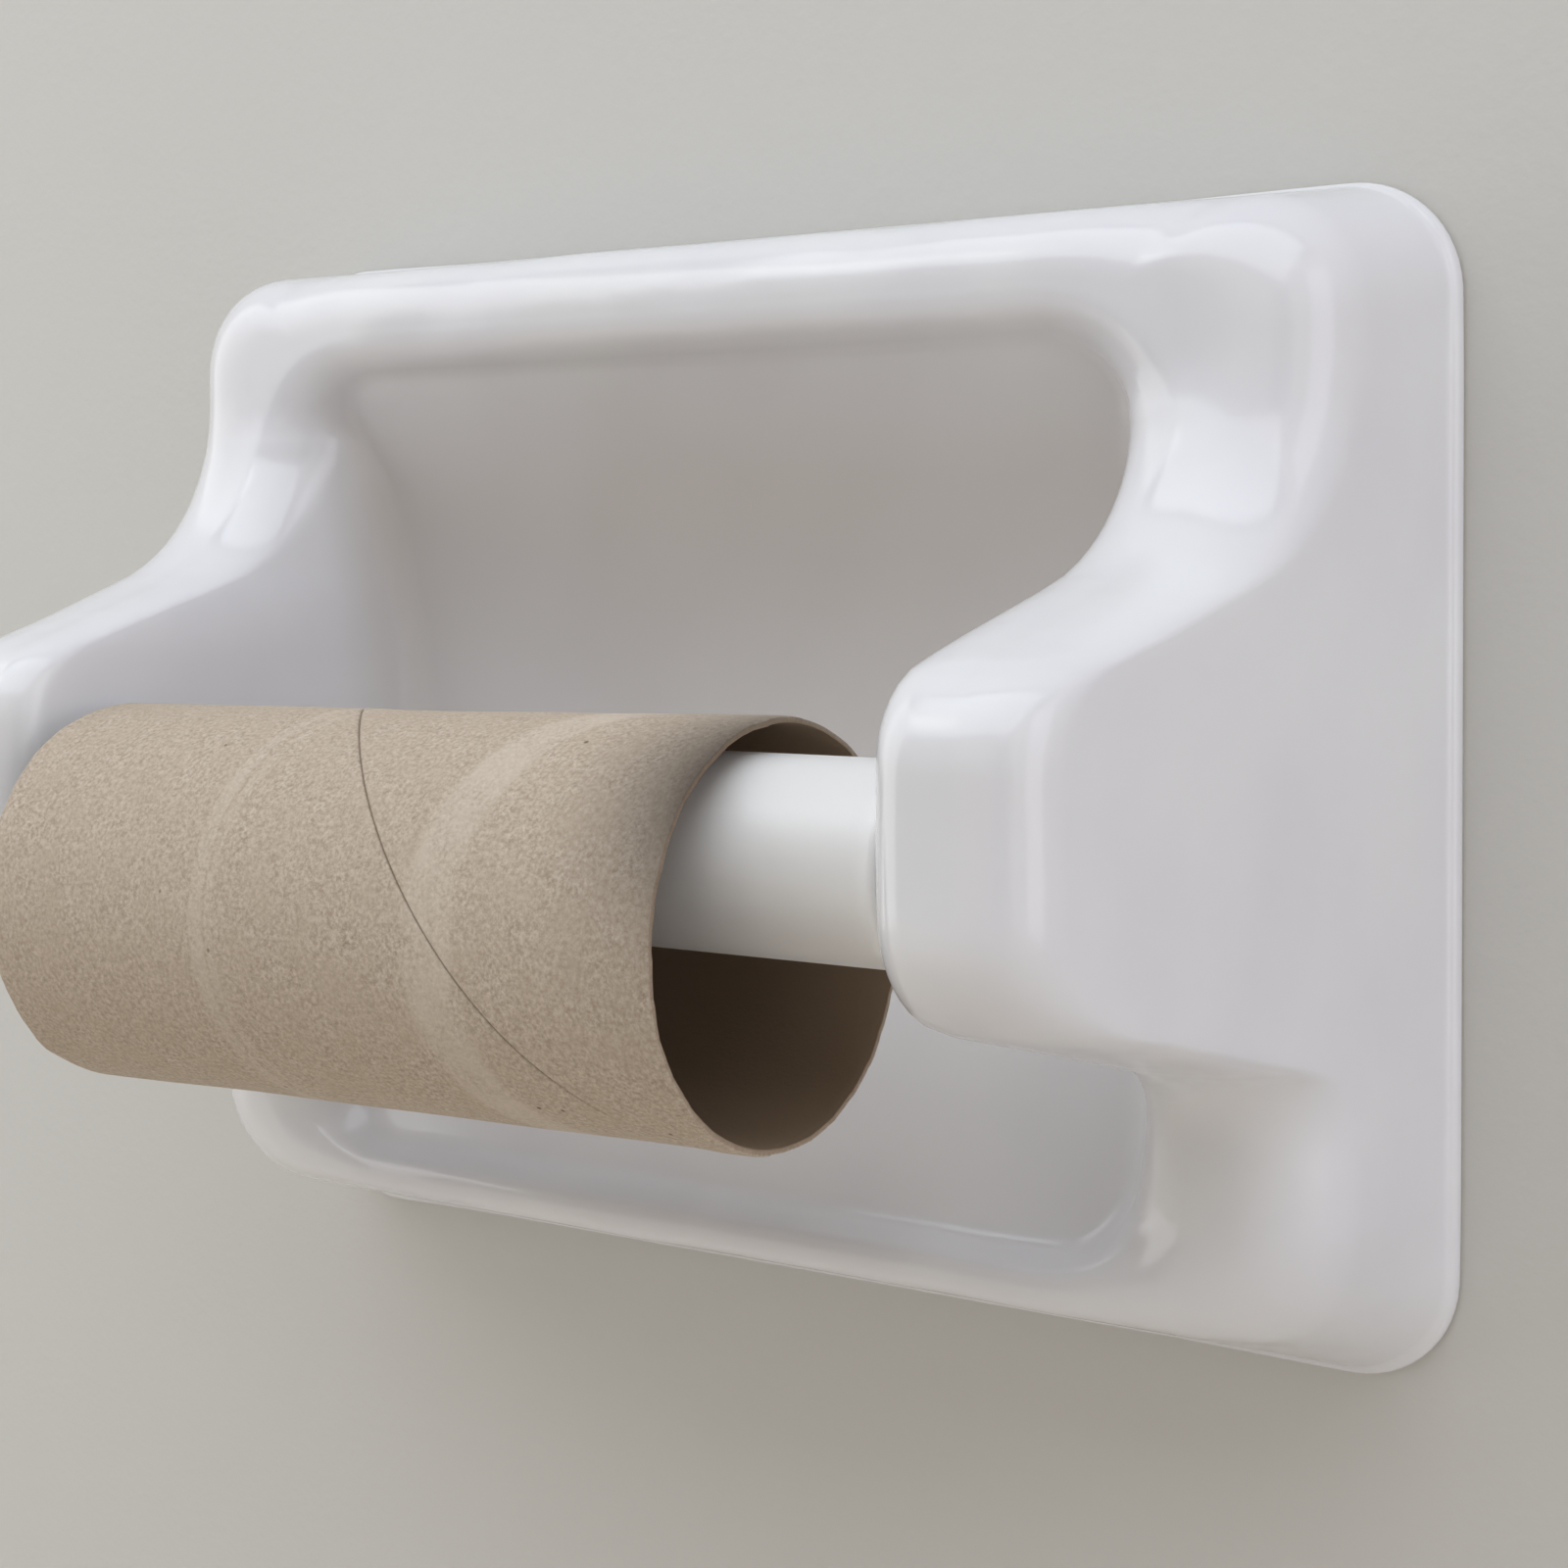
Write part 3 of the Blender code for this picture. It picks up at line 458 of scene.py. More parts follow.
# a blind socket for the roller's pin in each ear, flared at its mouth
axis_point = (0.0, -ROLLER_DEPTH, ROLLER_HEIGHT)
for side, label in ((1, "right"), (-1, "left")):
    lip_x = MOUTH_HALF_WIDTH - 0.6 * MM
    profile = [(side * x, radius) for x, radius in (
        (lip_x - 4 * MM, SOCKET_RADIUS + SOCKET_FLARE), (lip_x - 0.4 * MM, SOCKET_RADIUS + SOCKET_FLARE),
        (lip_x + 0.5 * SOCKET_FLARE, SOCKET_RADIUS + 0.3 * SOCKET_FLARE),
        (lip_x + SOCKET_FLARE, SOCKET_RADIUS), (SOCKET_END, SOCKET_RADIUS))]
    ends = [(profile[0][0], *axis_point[1:]), (profile[-1][0], *axis_point[1:])]
    tools.append((surface(f"socket_{label}", lathe(profile, axis_point, 64), ends), "DIFFERENCE"))
combined(china, tools)

# glazed vitreous china: a clear glassy coat over cool white, wavering over 25 mm and orange-peeled over
# 3 mm; the bare bisque is a dull, warmer white with 0.4 mm grit
glaze, tree, shader = new_material("glazed_vitreous_china")
where = add(tree, "ShaderNodeTexCoord").outputs["Object"]
normals = add(tree, "ShaderNodeNewGeometry").outputs["Normal"]
facing = add(tree, "ShaderNodeSeparateXYZ", {"Vector": normals})
bare = add(tree, "ShaderNodeMapRange", {"Value": facing.outputs["Y"], "From Min": 0.7, "From Max": 0.9})
pooled = add(tree, "ShaderNodeTexNoise", {"Vector": where, "Scale": 38.0, "Detail": 3.0, "Roughness": 0.45})
tone = add(tree, "ShaderNodeValToRGB", {"Fac": pooled.outputs["Fac"]})
tone.color_ramp.elements[0].position, tone.color_ramp.elements[0].color = 0.3, srgb("DADADF")
tone.color_ramp.elements[1].position, tone.color_ramp.elements[1].color = 0.7, srgb("E0E1E3")
# painted shade: the glaze colour is mixed towards a warm grey inside the mouth, the nearer the wall the
# more, and most of all in the upper half of the recess
spot_on = add(tree, "ShaderNodeSeparateXYZ", {"Vector": where}).outputs
deep = add(tree, "ShaderNodeMapRange", {"Value": spot_on["Y"], "From Min": -26 * MM, "From Max": -14 * MM},
           interpolation_type="SMOOTHSTEP")
upper = add(tree, "ShaderNodeMapRange", {"Value": spot_on["Z"], "From Min": -15 * MM,
                                         "From Max": 35 * MM, "To Min": 0.2})
recess_shade = add(tree, "ShaderNodeMath", {0: deep.outputs["Result"], 1: upper.outputs["Result"]},
            operation="MULTIPLY")
for axis, limit in (("X", 70.0), ("Z", 56.0)):
    off_centre = add(tree, "ShaderNodeMath", {0: spot_on[axis]}, operation="ABSOLUTE")
    within = add(tree, "ShaderNodeMath", {0: off_centre.outputs["Value"], 1: limit * MM},
                 operation="LESS_THAN")
    recess_shade = add(tree, "ShaderNodeMath", {0: recess_shade.outputs["Value"], 1: within.outputs["Value"]},
                operation="MULTIPLY")
shaded_tone = add(tree, "ShaderNodeMix", {0: recess_shade.outputs["Value"], 6: tone.outputs["Color"],
                                     7: srgb("D4D0CE")}, data_type="RGBA")
grit = add(tree, "ShaderNodeTexNoise", {"Vector": where, "Scale": 2500.0, "Detail": 2.0})
bisque = add(tree, "ShaderNodeValToRGB", {"Fac": grit.outputs["Fac"]})
bisque.color_ramp.elements[0].color = srgb("CFC9BC")
bisque.color_ramp.elements[1].color = srgb("E9E5DB")
colour = add(tree, "ShaderNodeMix", data_type="RGBA")
for key, socket in ((0, bare.outputs["Result"]), (6, shaded_tone.outputs[2]), (7, bisque.outputs["Color"])):
    tree.links.new(socket, colour.inputs[key])
peel = add(tree, "ShaderNodeTexNoise", {"Vector": where, "Scale": 300.0, "Detail": 1.0})
haze = add(tree, "ShaderNodeMapRange", {"Value": peel.outputs["Fac"], "To Min": 0.13, "To Max": 0.19})
dull = add(tree, "ShaderNodeMix", {0: bare.outputs["Result"], 2: haze.outputs["Result"], 3: 0.85})
waver = add(tree, "ShaderNodeBump", {"Height": pooled.outputs["Fac"], "Strength": 0.6,
                                     "Distance": 0.6 * MM})
skin = add(tree, "ShaderNodeBump", {"Height": peel.outputs["Fac"], "Strength": 0.25, "Distance": 0.03 * MM,
                                    "Normal": waver.outputs["Normal"]})
tree.links.new(colour.outputs[2], shader.inputs["Base Color"])
tree.links.new(dull.outputs[0], shader.inputs["Roughness"])
tree.links.new(skin.outputs["Normal"], shader.inputs["Normal"])
shader.inputs["IOR"].default_value = 1.52
china.data.materials.clear()
china.data.materials.append(glaze)
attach(china, "holder")
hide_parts("ceramic_body")

# ---- roller sleeves ----
# Two polystyrene mouldings, satin white. The inner one slides in the outer one, each ends in a pin, and
# each carries a hair-thin parting line of its two-part mould along both sides.

SLEEVE_WALL = 0.9 * MM
INNER_RADIUS = 10.3 * MM
OUTER_RADIUS = INNER_RADIUS + GAP + SLEEVE_WALL
ROLLER_TO_EAR = 1.6 * MM
ROLLER_HALF = MOUTH_HALF_WIDTH - ROLLER_TO_EAR
PIN_RADIUS, PIN_LENGTH, END_WALL = 4.0 * MM, 6.5 * MM, 2 * MM
FILLET, PIN_FILLET = 0.8 * MM, 0.4 * MM


def arc(x, radius, start, end, size, steps=6):
    """A quarter of a circle in the profile's own plane, from angle start to end in degrees."""
    angle = np.radians(np.linspace(start, end, steps))
    return np.stack([x + size * np.cos(angle), radius + size * np.sin(angle)], axis=1)


def run(x0, x1, radius, steps):
    """Even points along the profile at one radius."""
    return np.stack([np.linspace(x0, x1, steps), np.full(steps, radius)], axis=1)


def sleeve(name, length, radius, side, seam_angle):
    """A tube open at its inner end and closed at the other, which carries the pin.

    The profile runs from the middle of the closed end's inside, out along the bore, round the open
    edge, back along the outside, over the rounded shoulder and along the pin. Its parting line is a
    ridge 0.07 mm high, a bell curve about 0.5 mm wide on two opposite sides.
    """
    start = ROLLER_HALF - length
    tip = ROLLER_HALF + PIN_LENGTH
    bore = radius - SLEEVE_WALL
    edge = SLEEVE_WALL / 2
    profile = np.concatenate([
        [(ROLLER_HALF - END_WALL, bore * share) for share in (0.3, 0.7, 0.97)],
        run(ROLLER_HALF - END_WALL - 0.4 * MM, start + edge, bore, 30),
        arc(start + edge, bore + edge, 270, 90, edge, 9)[1:-1],
        run(start + edge, ROLLER_HALF - FILLET, radius, 60),
        arc(ROLLER_HALF - FILLET, radius - FILLET, 90, 0, FILLET)[1:],
        arc(ROLLER_HALF + PIN_FILLET, PIN_RADIUS + PIN_FILLET, 180, 270, PIN_FILLET, 4),
        run(ROLLER_HALF + MM, tip - FILLET, PIN_RADIUS, 6),
        arc(tip - FILLET, PIN_RADIUS - FILLET, 90, 0, FILLET)[1:],
        [(tip, PIN_RADIUS * 0.4)]])
    steps = 180
    rows = lathe(profile * (side, 1.0), axis_point, steps)
    angle = np.arange(steps) * 2 * math.pi / steps
    off = (angle - math.radians(seam_angle) + math.pi / 2) % math.pi - math.pi / 2
    ridge = 1 + 0.07 * MM / radius * np.exp(-(off * radius / (0.35 * MM)) ** 2)
    outside = (profile[:, 1] > bore + 0.5 * edge)[:, None, None]
    offset = rows - np.array(axis_point)
    offset[..., 1:] *= np.where(outside, ridge[None, :, None], 1.0)
    rows = offset + np.array(axis_point)
    poles = [(side * (ROLLER_HALF - END_WALL), *axis_point[1:]), (side * tip, *axis_point[1:])]
    return outward(surface(name, rows, poles))


# moulded polystyrene: bright satin white with flow marks that run along the sleeve, 8 mm apart, and a
# grain of 0.5 mm from the mould's blasted skin
polystyrene, tree, shader = new_material("moulded_polystyrene")
where = add(tree, "ShaderNodeTexCoord").outputs["Object"]
drawn = add(tree, "ShaderNodeMapping", {"Vector": where, "Scale": (12.0, 120.0, 120.0)})
flow = add(tree, "ShaderNodeTexNoise", {"Vector": drawn.outputs["Vector"], "Scale": 1.0, "Detail": 2.0})
tone = add(tree, "ShaderNodeValToRGB", {"Fac": flow.outputs["Fac"]})
tone.color_ramp.elements[0].color = srgb("F4F4F5")
tone.color_ramp.elements[1].color = srgb("FBFBFA")
grain = add(tree, "ShaderNodeTexNoise", {"Vector": where, "Scale": 2000.0, "Detail": 1.0})
dull = add(tree, "ShaderNodeMapRange", {"Value": flow.outputs["Fac"], "To Min": 0.30, "To Max": 0.42})
bump = add(tree, "ShaderNodeBump", {"Height": grain.outputs["Fac"], "Strength": 0.3, "Distance": 0.02 * MM})
tree.links.new(tone.outputs["Color"], shader.inputs["Base Color"])
tree.links.new(dull.outputs["Result"], shader.inputs["Roughness"])
tree.links.new(bump.outputs["Normal"], shader.inputs["Normal"])
shader.inputs["IOR"].default_value = 1.59
shader.inputs["Subsurface Weight"].default_value = 0.5
shader.inputs["Subsurface Radius"].default_value = (1.0, 1.0, 1.0)
shader.inputs["Subsurface Scale"].default_value = 6 * MM
for name, length, radius, side, seam_angle, body in (
        ("outer_sleeve", 70.0 * MM, OUTER_RADIUS, -1, 118.0, "roller_outer"),
        ("inner_sleeve", 92.0 * MM, INNER_RADIUS, 1, 72.0, "roller_inner")):
    tube = sleeve(f"moulded_{name}", length, radius, side, seam_angle)
    moulding = place(tube.name, tube, polystyrene)
    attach(moulding, body)
    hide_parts(f"roller_{name}")

# ---- roller spring ----
# A compression spring of 1.1 mm drawn wire, with its last turn at each end closed up. It sits inside the
# sleeves and shortens as they telescope.

WIRE, COIL_RADIUS, TURNS, STROKE = 0.55 * MM, 6.0 * MM, 15, 9 * MM
COIL_HALF = ROLLER_HALF - END_WALL - GAP - WIRE


def coil(name):
    """A round wire carried along a helix, whose pitch closes up over the last turn at each end."""
    t = np.linspace(0, 1, TURNS * 36 + 1)
    angle = 2 * math.pi * TURNS * t
    ease = np.clip(np.minimum(t, 1 - t) * TURNS, 0, 1)
    speed = 0.35 + 0.65 * ease
    along = np.concatenate([[0], np.cumsum((speed[1:] + speed[:-1]) / 2)])
    along = COIL_HALF * (2 * along / along[-1] - 1)
    centre = np.stack([along, COIL_RADIUS * np.cos(angle), COIL_RADIUS * np.sin(angle)], axis=1)
    forward = np.gradient(centre, axis=0)
    forward /= np.linalg.norm(forward, axis=1, keepdims=True)
    out = np.stack([0 * angle, np.cos(angle), np.sin(angle)], axis=1)
    out -= forward * np.sum(out * forward, axis=1, keepdims=True)
    out /= np.linalg.norm(out, axis=1, keepdims=True)
    side = np.cross(forward, out)
    around = np.arange(10) * 2 * math.pi / 10
    ring = np.cos(around)[None, :, None] * out[:, None] + np.sin(around)[None, :, None] * side[:, None]
    centre += np.array(axis_point)
    return outward(surface(name, centre[:, None] + WIRE * ring, (centre[0], centre[-1])))


# drawn spring wire: dark bright steel with fine marks from the die
spring_wire, tree, shader = new_material("drawn_spring_wire")
where = add(tree, "ShaderNodeTexCoord").outputs["Object"]
drawn = add(tree, "ShaderNodeTexNoise", {"Vector": where, "Scale": 900.0, "Detail": 2.0})
tone = add(tree, "ShaderNodeValToRGB", {"Fac": drawn.outputs["Fac"]})
tone.color_ramp.elements[0].color = srgb("84868A")
tone.color_ramp.elements[1].color = srgb("A6A8AB")
dull = add(tree, "ShaderNodeMapRange", {"Value": drawn.outputs["Fac"], "To Min": 0.25, "To Max": 0.4})
tree.links.new(tone.outputs["Color"], shader.inputs["Base Color"])
tree.links.new(dull.outputs["Result"], shader.inputs["Roughness"])
shader.inputs["Metallic"].default_value = 1.0
spring = place("roller_coil_spring", coil("roller_coil_spring"), spring_wire, 60.0)
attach(spring, "roller_outer")
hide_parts("roller_spring")
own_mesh(spring)

# ---- cardboard core ----
# Two plies of kraft board, wound on a slant and glued. The outer ply's edges meet in one long spiral
# seam, the ends are sawn and a little torn, and handling has rubbed pale rings into the outside.

CORE_RADIUS, CORE_WALL, CORE_HALF = 22.3 * MM, 0.8 * MM, 47.75 * MM
CORE_TILT, CORE_YAW, CORE_X = math.radians(0.7), math.radians(2.0), -8.6 * MM
SPIRAL_PITCH = 117.7 * MM
SEAM_AT_FRONT = 20.6 * MM           # the seam's place along the core where it crosses the front
# the ends' rims dip by the first; the painted shade towards the right end starts at the second, along the
# core
EDGE_DIP, SHADED_FROM = 0.12 * MM, 29 * MM

core_way = np.array([math.cos(CORE_TILT) * math.cos(CORE_YAW), math.cos(CORE_TILT) * math.sin(CORE_YAW),
                     math.sin(CORE_TILT)])
hang = CORE_RADIUS - CORE_WALL - OUTER_RADIUS - GAP
drop = math.sqrt(hang ** 2 - (CORE_HALF * core_way[1]) ** 2)
core_centre = np.array([CORE_X, -ROLLER_DEPTH, ROLLER_HEIGHT - drop + CORE_HALF * core_way[2]])
core_front = np.array([0.0, -1.0, 0.0]) + core_way * core_way[1]
core_front /= np.linalg.norm(core_front)
core_up = np.cross(core_front, core_way)
core_up *= math.copysign(1.0, core_up[2])


def core_surface(name):
    """A tube whose grid lines run with the spiral: along is x, and angle is the seam's angle plus v.

    v is packed close to the seam. The outside rises 0.12 mm in a low ridge on one side of the seam and
    dips 0.22 mm in the seam itself. Both ends wander by sums of sines, and two spots on them are torn.
    A painted shade grows towards the right end, as a bell curve about a line on its upper front.
    """
    packed = np.array([0.1, 0.25, 0.45, 0.7, 1.1, 1.8, 3.0]) * MM / (2 * math.pi * CORE_RADIUS)
    v = np.concatenate([[0.0], packed, np.linspace(packed[-1], 1 - packed[-1], 150)[1:-1],
                        1 - packed[::-1]])
    u = np.linspace(-1, 1, 150)[:, None]
    along = u * CORE_HALF + 0 * v
    angle = 2 * math.pi * ((SEAM_AT_FRONT - along) / SPIRAL_PITCH + v)
    arc_off = CORE_RADIUS * 2 * math.pi * np.minimum(v, 1 - v)
    side = np.where(v < 0.5, 1.0, -1.0)
    relief = -0.22 * MM * np.exp(-(arc_off / (0.28 * MM)) ** 2)
    relief = relief + np.where(side > 0, 0.12 * MM * np.exp(-arc_off / (5 * MM)), 0.0)
    dents = (0.12 * MM * np.sin(2 * angle + 1.0 + along * 40) + 0.05 * MM * np.sin(3 * angle - along * 110)
             + 0.03 * MM * np.sin(7 * angle + along * 210))

    def ragged(turn, phase):
        return (0.10 * MM * np.sin(3 * turn + phase) + 0.06 * MM * np.sin(11 * turn + 2.3 * phase)
                + 0.045 * MM * np.sin(29 * turn + 1.7 * phase) + 0.03 * MM * np.sin(61 * turn + phase))

    def spot(turn, degrees, width):
        away = (turn - math.radians(degrees) + math.pi) % (2 * math.pi) - math.pi
        return np.exp(-(away / math.radians(width)) ** 2)

    right, left = np.clip(u, 0, 1) ** 12, np.clip(-u, 0, 1) ** 12
    lip = spot(angle, 84, 5) + 0.6 * spot(angle, 97, 4)
    split = spot(angle, -47, 7)
    flap = np.clip((-u - 0.93) / 0.07, 0, 1) ** 1.5
    shift = right * (ragged(angle, 1.0) + 0.55 * MM * lip * (1 + 0.4 * np.sin(90 * angle)))
    shift = shift - left * (ragged(angle, 4.0) - 0.5 * MM * split)
    outside = CORE_RADIUS + relief + dents + 0.5 * MM * split * flap
    inside = CORE_RADIUS - CORE_WALL + dents + 0.04 * MM * np.sin(5 * angle + along * 90)
    outside[[0, -1]] -= EDGE_DIP
    inside[[0, -1]] += EDGE_DIP
    outer_ply = (outside, along + shift, angle)
    inner_ply = tuple(rows[::-1] for rows in (inside, along + shift, angle))

    def ring(ply, k):
        return tuple(rows[k] for rows in ply)

    def cut(a, b):
        t = np.array([0.33, 0.67])[:, None]
        ply = 0.08 * MM * np.sin(37 * a[2] + 4.0) + 0.05 * MM * np.sin(83 * a[2])
        return (a[0] + (b[0] - a[0]) * t, a[1] + (b[1] - a[1]) * t + ply * (t < 0.5), a[2] + 0 * t)

    parts = [outer_ply, cut(ring(outer_ply, -1), ring(inner_ply, 0)),
             inner_ply, cut(ring(inner_ply, -1), ring(outer_ply, 0))]
    radius, x, turn = (np.concatenate([part[k] for part in parts]) for k in range(3))
    sides = np.concatenate([np.full(len(part[0]), value)
                            for part, value in zip(parts, (0.0, 0.5, 1.0, 0.5))])
    spoke = np.cos(turn)[..., None] * core_front + np.sin(turn)[..., None] * core_up
    points = core_centre + x[..., None] * core_way + radius[..., None] * spoke
    made = outward(surface(name, points, loop=True))
    wrapped = (turn + math.pi) % (2 * math.pi) - math.pi
    near_end = np.clip((x - SHADED_FROM) / (CORE_HALF - SHADED_FROM), 0, 1)
    painted_shade = near_end ** 1.5 * np.exp(-((wrapped - 0.95) / 0.85) ** 2)
    for label, values in (("inner_ply", np.repeat(sides, len(v))), ("along_core", x.ravel()),
                          ("round_core", (wrapped ** 2).ravel()),
                          ("off_seam", (0 * x + arc_off * side).ravel()), ("painted_shade", painted_shade.ravel())):
        made.attributes.new(label, "FLOAT", "POINT").data.foreach_set("value", values.astype(np.float32))
    return made


# kraft board: recycled brown pulp. Fibres about 0.5 mm long mottle it, with clouds of 4 mm and dark specks
# of 0.4 mm;
# the seam holds a dark line, a painted shade darkens the upper front of the right end, and the inside is
# browner
kraft, tree, shader = new_material("spiral_wound_kraft_board")
where = add(tree, "ShaderNodeTexCoord").outputs["Object"]
inner = add(tree, "ShaderNodeAttribute", attribute_name="inner_ply").outputs["Fac"]
along = add(tree, "ShaderNodeAttribute", attribute_name="along_core").outputs["Fac"]
square = add(tree, "ShaderNodeAttribute", attribute_name="round_core").outputs["Fac"]
off = add(tree, "ShaderNodeAttribute", attribute_name="off_seam").outputs["Fac"]
fibre = add(tree, "ShaderNodeTexNoise", {"Vector": where, "Scale": 1900.0, "Detail": 4.0,
                                         "Roughness": 0.75})
tone = add(tree, "ShaderNodeValToRGB", {"Fac": fibre.outputs["Fac"]})
tone.color_ramp.elements[0].position, tone.color_ramp.elements[0].color = 0.34, srgb("8B7A68")
tone.color_ramp.elements[1].position, tone.color_ramp.elements[1].color = 0.66, srgb("D3C7B8")
cloud = add(tree, "ShaderNodeTexNoise", {"Vector": where, "Scale": 230.0, "Detail": 3.0})
clouded = add(tree, "ShaderNodeMix", {0: cloud.outputs["Fac"], 6: tone.outputs["Color"], 7: srgb("B3A492")},
              data_type="RGBA")
speck = add(tree, "ShaderNodeTexVoronoi", {"Vector": where, "Scale": 260.0, "Randomness": 1.0})
dot = add(tree, "ShaderNodeMapRange", {"Value": speck.outputs["Distance"], "From Min": 0.05,
                                       "From Max": 0.09, "To Min": 0.75, "To Max": 0.0})
rare = add(tree, "ShaderNodeSeparateColor", {"Color": speck.outputs["Color"]})
picked = add(tree, "ShaderNodeMath", {0: rare.outputs["Red"], 1: 0.78}, operation="GREATER_THAN")
dotted = add(tree, "ShaderNodeMath", {0: dot.outputs["Result"], 1: picked.outputs["Value"]},
             operation="MULTIPLY")
specked = add(tree, "ShaderNodeMix", {0: dotted.outputs["Value"], 6: clouded.outputs[2], 7: srgb("4E3D2C")},
              data_type="RGBA")
# a rubbed ring: pale where its distance from a bowed line round the core is under half its width
rubbed = specked.outputs[2]
for centre, bow, half, strength in ((19.5, 3.9, 4.2, 0.6), (-13.6, 1.6, 1.3, 0.4), (-11.6, 2.4, 0.7, 0.3)):
    line = add(tree, "ShaderNodeMath", {0: square, 1: bow * MM, 2: centre * MM}, operation="MULTIPLY_ADD")
    away = add(tree, "ShaderNodeMath", {0: along, 1: line.outputs["Value"]}, operation="SUBTRACT")
    away = add(tree, "ShaderNodeMath", {0: away.outputs["Value"]}, operation="ABSOLUTE")
    ring = add(tree, "ShaderNodeMapRange", {"Value": away.outputs["Value"], "From Min": 0.55 * half * MM,
                                            "From Max": half * MM, "To Min": strength, "To Max": 0.0},
               interpolation_type="SMOOTHSTEP")
    patchy = add(tree, "ShaderNodeMath", {0: ring.outputs["Result"], 1: cloud.outputs["Fac"]},
                 operation="MULTIPLY")
    rubbed = add(tree, "ShaderNodeMix", {0: patchy.outputs["Value"], 6: rubbed, 7: srgb("D2C8BA")},
                 data_type="RGBA").outputs[2]
away = add(tree, "ShaderNodeMath", {0: off}, operation="ABSOLUTE")
crack = add(tree, "ShaderNodeMapRange", {"Value": away.outputs["Value"], "From Min": 0.04 * MM,
                                         "From Max": 0.30 * MM, "To Min": 0.65, "To Max": 0.0})
outer = add(tree, "ShaderNodeMath", {0: inner, 1: 0.3}, operation="LESS_THAN")
crack = add(tree, "ShaderNodeMath", {0: crack.outputs["Result"], 1: outer.outputs["Value"]},
            operation="MULTIPLY")
seamed = add(tree, "ShaderNodeMix", {0: crack.outputs["Value"], 6: rubbed, 7: srgb("4A3826")},
             data_type="RGBA")
# painted shade: the upper front of the core's right end is mixed towards a dark grey brown
painted_shade = add(tree, "ShaderNodeAttribute", attribute_name="painted_shade").outputs["Fac"]
shade_amount = add(tree, "ShaderNodeMath", {0: painted_shade, 1: 0.9}, operation="MULTIPLY")
shaded_end = add(tree, "ShaderNodeMix", {0: shade_amount.outputs["Value"], 6: seamed.outputs[2], 7: srgb("463E36")},
               data_type="RGBA")
browner = add(tree, "ShaderNodeMix", {0: inner, 6: shaded_end.outputs[2], 7: srgb("84705B")},
              data_type="RGBA")
tree.links.new(browner.outputs[2], shader.inputs["Base Color"])
nap = add(tree, "ShaderNodeBump", {"Height": fibre.outputs["Fac"], "Strength": 0.5, "Distance": 0.08 * MM})
dented = add(tree, "ShaderNodeBump", {"Height": cloud.outputs["Fac"], "Strength": 0.4,
                                      "Distance": 0.12 * MM, "Normal": nap.outputs["Normal"]})
tree.links.new(dented.outputs["Normal"], shader.inputs["Normal"])
shader.inputs["Roughness"].default_value = 0.92
shader.inputs["IOR"].default_value = 1.45
core = place("kraft_board_core", core_surface("kraft_board_core"), kraft, 50.0)
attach(core, "core")
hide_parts("cardboard_core")

# ---- stage ----
# A painted wall that only shows from the room's side, and a plain pale floor below the holder. The wall
# is open behind the china, within its outline, so that light from behind reaches the back.

WALL_BACK, WALL_REACH, FLOOR_HEIGHT, FLOOR_REACH = GAP, 2.5, -0.30, 3
wall = bpy.data.meshes.new("backdrop_wall")
stations, ways = net_stations(16, 40, 16)
near = stations + ways * plate_edge(ways, 0.0)[:, None]
far = near * (WALL_REACH / np.abs(near).max(axis=1, keepdims=True))
far[:, 1] = np.maximum(far[:, 1], FLOOR_HEIGHT)
around = len(near)
wall.from_pydata([(x, WALL_BACK, z) for x, z in np.concatenate([near, far])], [],
                 [(k, around + k, around + (k + 1) % around, (k + 1) % around) for k in range(around)])
floor = bpy.data.meshes.new("backdrop_floor")
floor.from_pydata([(x * FLOOR_REACH, y * FLOOR_REACH, FLOOR_HEIGHT)
                   for x, y in ((-1, -1), (1, -1), (1, 1), (-1, 1))], [], [(0, 1, 2, 3)])

# eggshell wall paint, with a roller's 1.5 mm stipple
paint, tree, shader = new_material("eggshell_paint")
where = add(tree, "ShaderNodeTexCoord").outputs["Object"]
stipple = add(tree, "ShaderNodeTexNoise", {"Vector": where, "Scale": 650.0, "Detail": 2.0})
bump = add(tree, "ShaderNodeBump", {"Height": stipple.outputs["Fac"], "Strength": 0.4,
                                    "Distance": 0.15 * MM})
tree.links.new(bump.outputs["Normal"], shader.inputs["Normal"])
shader.inputs["Base Color"].default_value = srgb("CAC9C5")
shader.inputs["Roughness"].default_value = 0.6
behind = add(tree, "ShaderNodeNewGeometry").outputs["Backfacing"]
clear = add(tree, "ShaderNodeBsdfTransparent")
both = add(tree, "ShaderNodeMixShader", {0: behind, 1: shader.outputs["BSDF"], 2: clear.outputs["BSDF"]})
tree.links.new(both.outputs["Shader"], tree.nodes["Material Output"].inputs["Surface"])
# pale floor, slightly warm, so that what it throws back up is warm too
floor_paint, tree, shader = new_material("pale_floor")
shader.inputs["Base Color"].default_value = srgb("D9D1C6")
shader.inputs["Roughness"].default_value = 0.7
for mesh, material in ((wall, paint), (floor, floor_paint)):
    mesh.materials.append(material)
    backdrop = bpy.data.objects.new(mesh.name, mesh)
    bpy.context.scene.collection.objects.link(backdrop)


# ---- light and camera ----
# A wide soft box above gives the most light. Two at the sides and two weak ones fill the flank and the
# front, and one behind the wall lights the back. The camera stands to the right and looks slightly down.


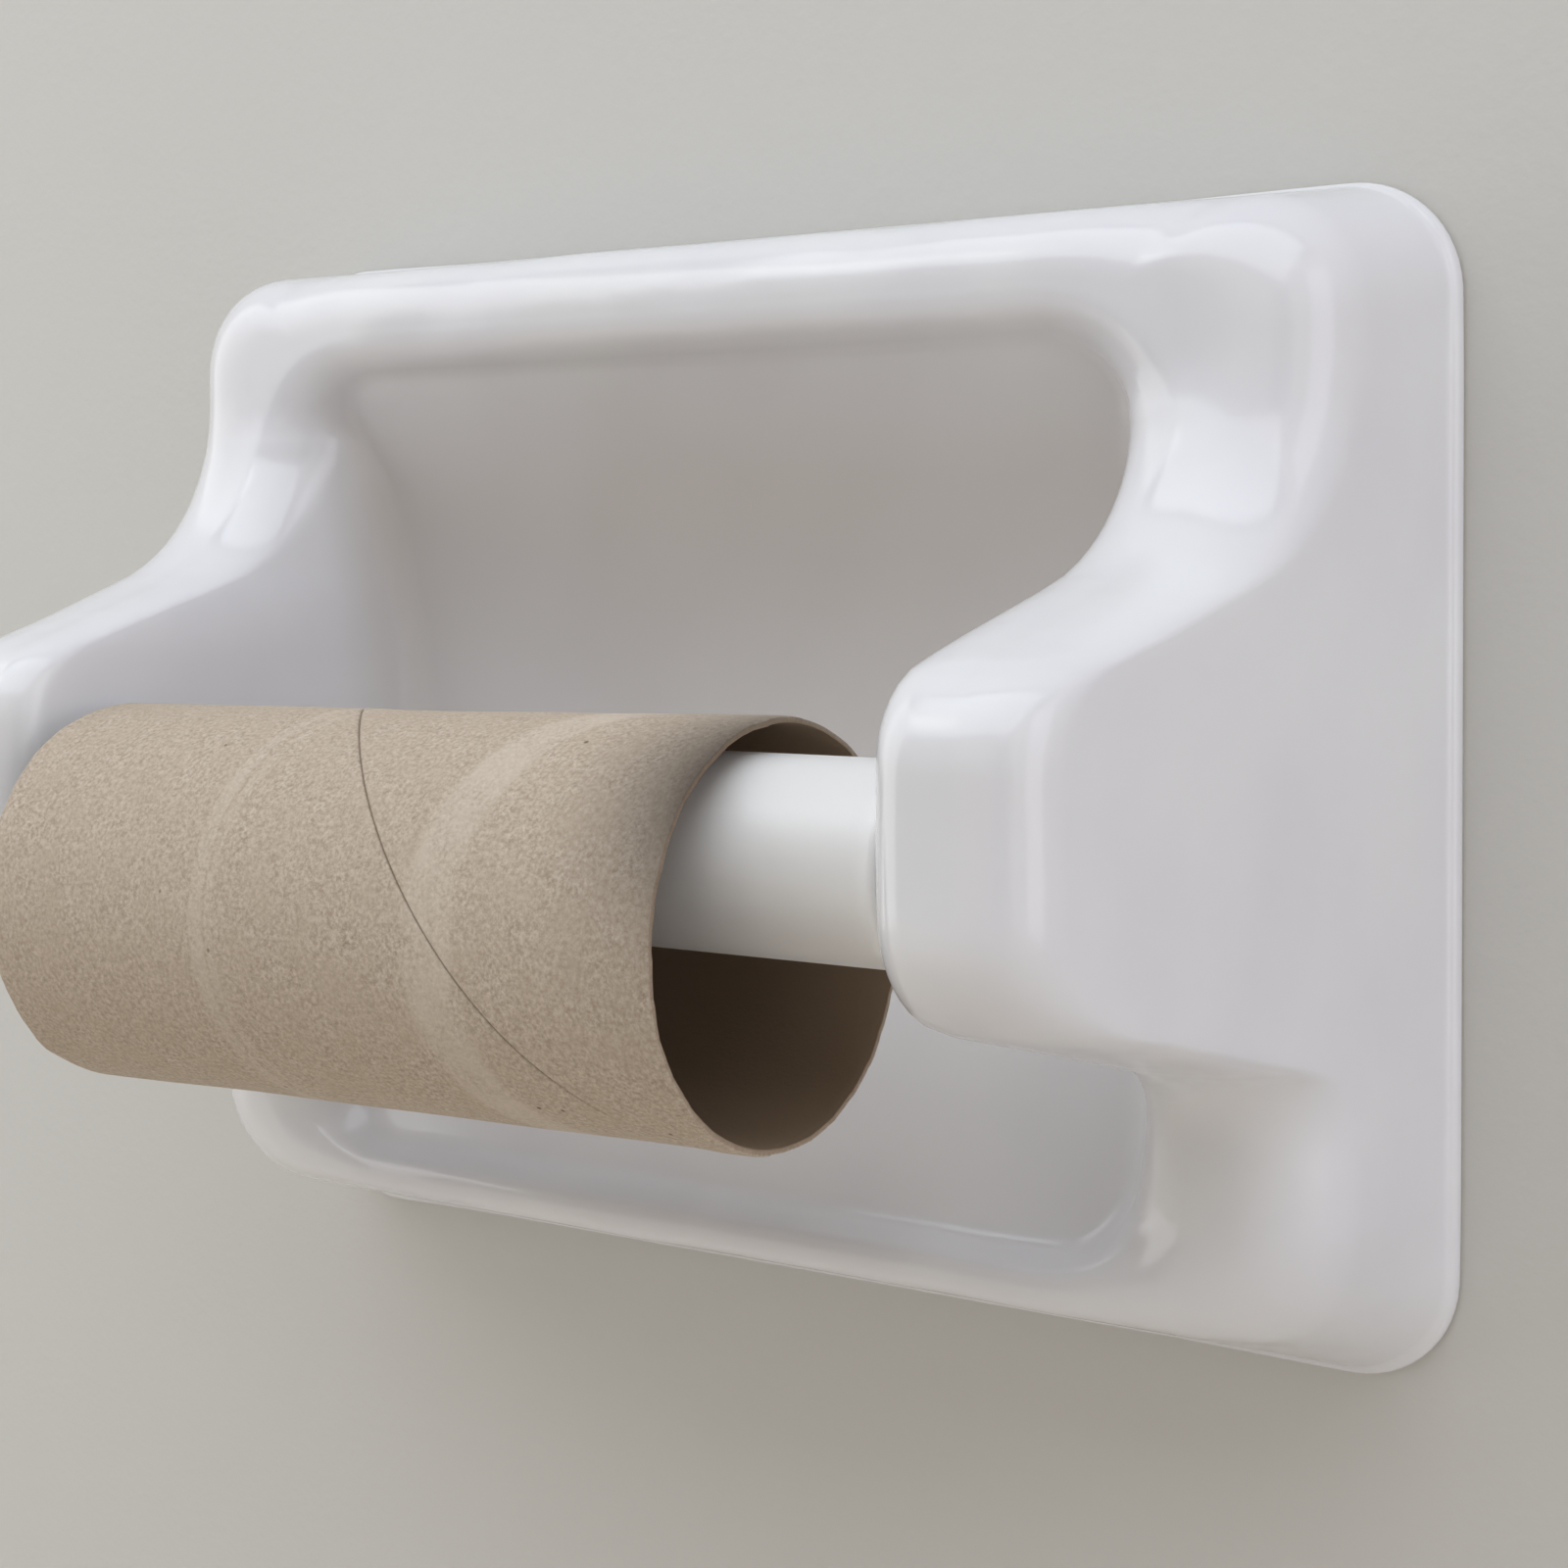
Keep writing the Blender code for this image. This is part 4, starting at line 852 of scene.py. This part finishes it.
def soft_light(name, position, target, size, watts, colour):
    """A rectangular soft box that faces its target."""
    lamp = bpy.data.lights.new(name, "AREA")
    lamp.shape, (lamp.size, lamp.size_y) = "RECTANGLE", size
    lamp.energy, lamp.color = watts, srgb(colour)[:3]
    made = bpy.data.objects.new(name, lamp)
    made.location = position
    made.rotation_euler = (Vector(target) - Vector(position)).to_track_quat("-Z", "Y").to_euler()
    bpy.context.scene.collection.objects.link(made)
    return made


soft_light("key_box", (0, -0.65, 1.13), (0, 0, 0), (1.9, 1.2), 15.8, "F4F9FF")
soft_light("left_box", (-1.18, -0.43, 0.34), (0, 0, 0), (1.2, 1.6), 10.8, "FFFFFF")
soft_light("right_box", (1.18, -0.43, 0.34), (0, 0, 0), (1.2, 1.6), 4.6, "FFFFFA")
soft_light("side_box", (1.28, -0.05, 0.23), (0, 0, 0), (1.0, 1.4), 5.8, "F2ECFF")
soft_light("front_box", (0, -1.27, 0.27), (0, 0, 0), (1.2, 1.0), 1.2, "FFEBD0")
soft_light("rear_box", (-0.6, 1.4, 0.9), (0, 0, 0), (1.4, 1.0), 18.0, "FFFFFF")
world = bpy.data.worlds.new("studio")
bpy.context.scene.world = world
world.use_nodes = True
world.node_tree.nodes["Background"].inputs["Color"].default_value = srgb("EDECEA")
world.node_tree.nodes["Background"].inputs["Strength"].default_value = 0.02

YAW, PITCH, ROLL = math.radians(37.29), math.radians(-5.64), math.radians(-1.13)
right = np.array([math.cos(YAW), math.sin(YAW), 0.0])
ahead = np.array([-math.sin(YAW) * math.cos(PITCH), math.cos(YAW) * math.cos(PITCH), math.sin(PITCH)])
above = np.cross(right, ahead)
columns = (math.cos(ROLL) * right + math.sin(ROLL) * above,
           -math.sin(ROLL) * right + math.cos(ROLL) * above, -ahead, (0.2141, -0.2870, 0.0327))
lens = bpy.data.cameras.new("camera")
lens.lens, lens.sensor_width = 66.0, 36.0
lens.clip_start, lens.clip_end = 0.01, 20.0
camera = bpy.data.objects.new("camera", lens)
camera.matrix_world = Matrix([[float(column[k]) for column in columns] for k in range(3)] + [[0, 0, 0, 1]])
bpy.context.scene.collection.objects.link(camera)
bpy.context.scene.camera = camera
bpy.context.scene.view_settings.view_transform = "Standard"
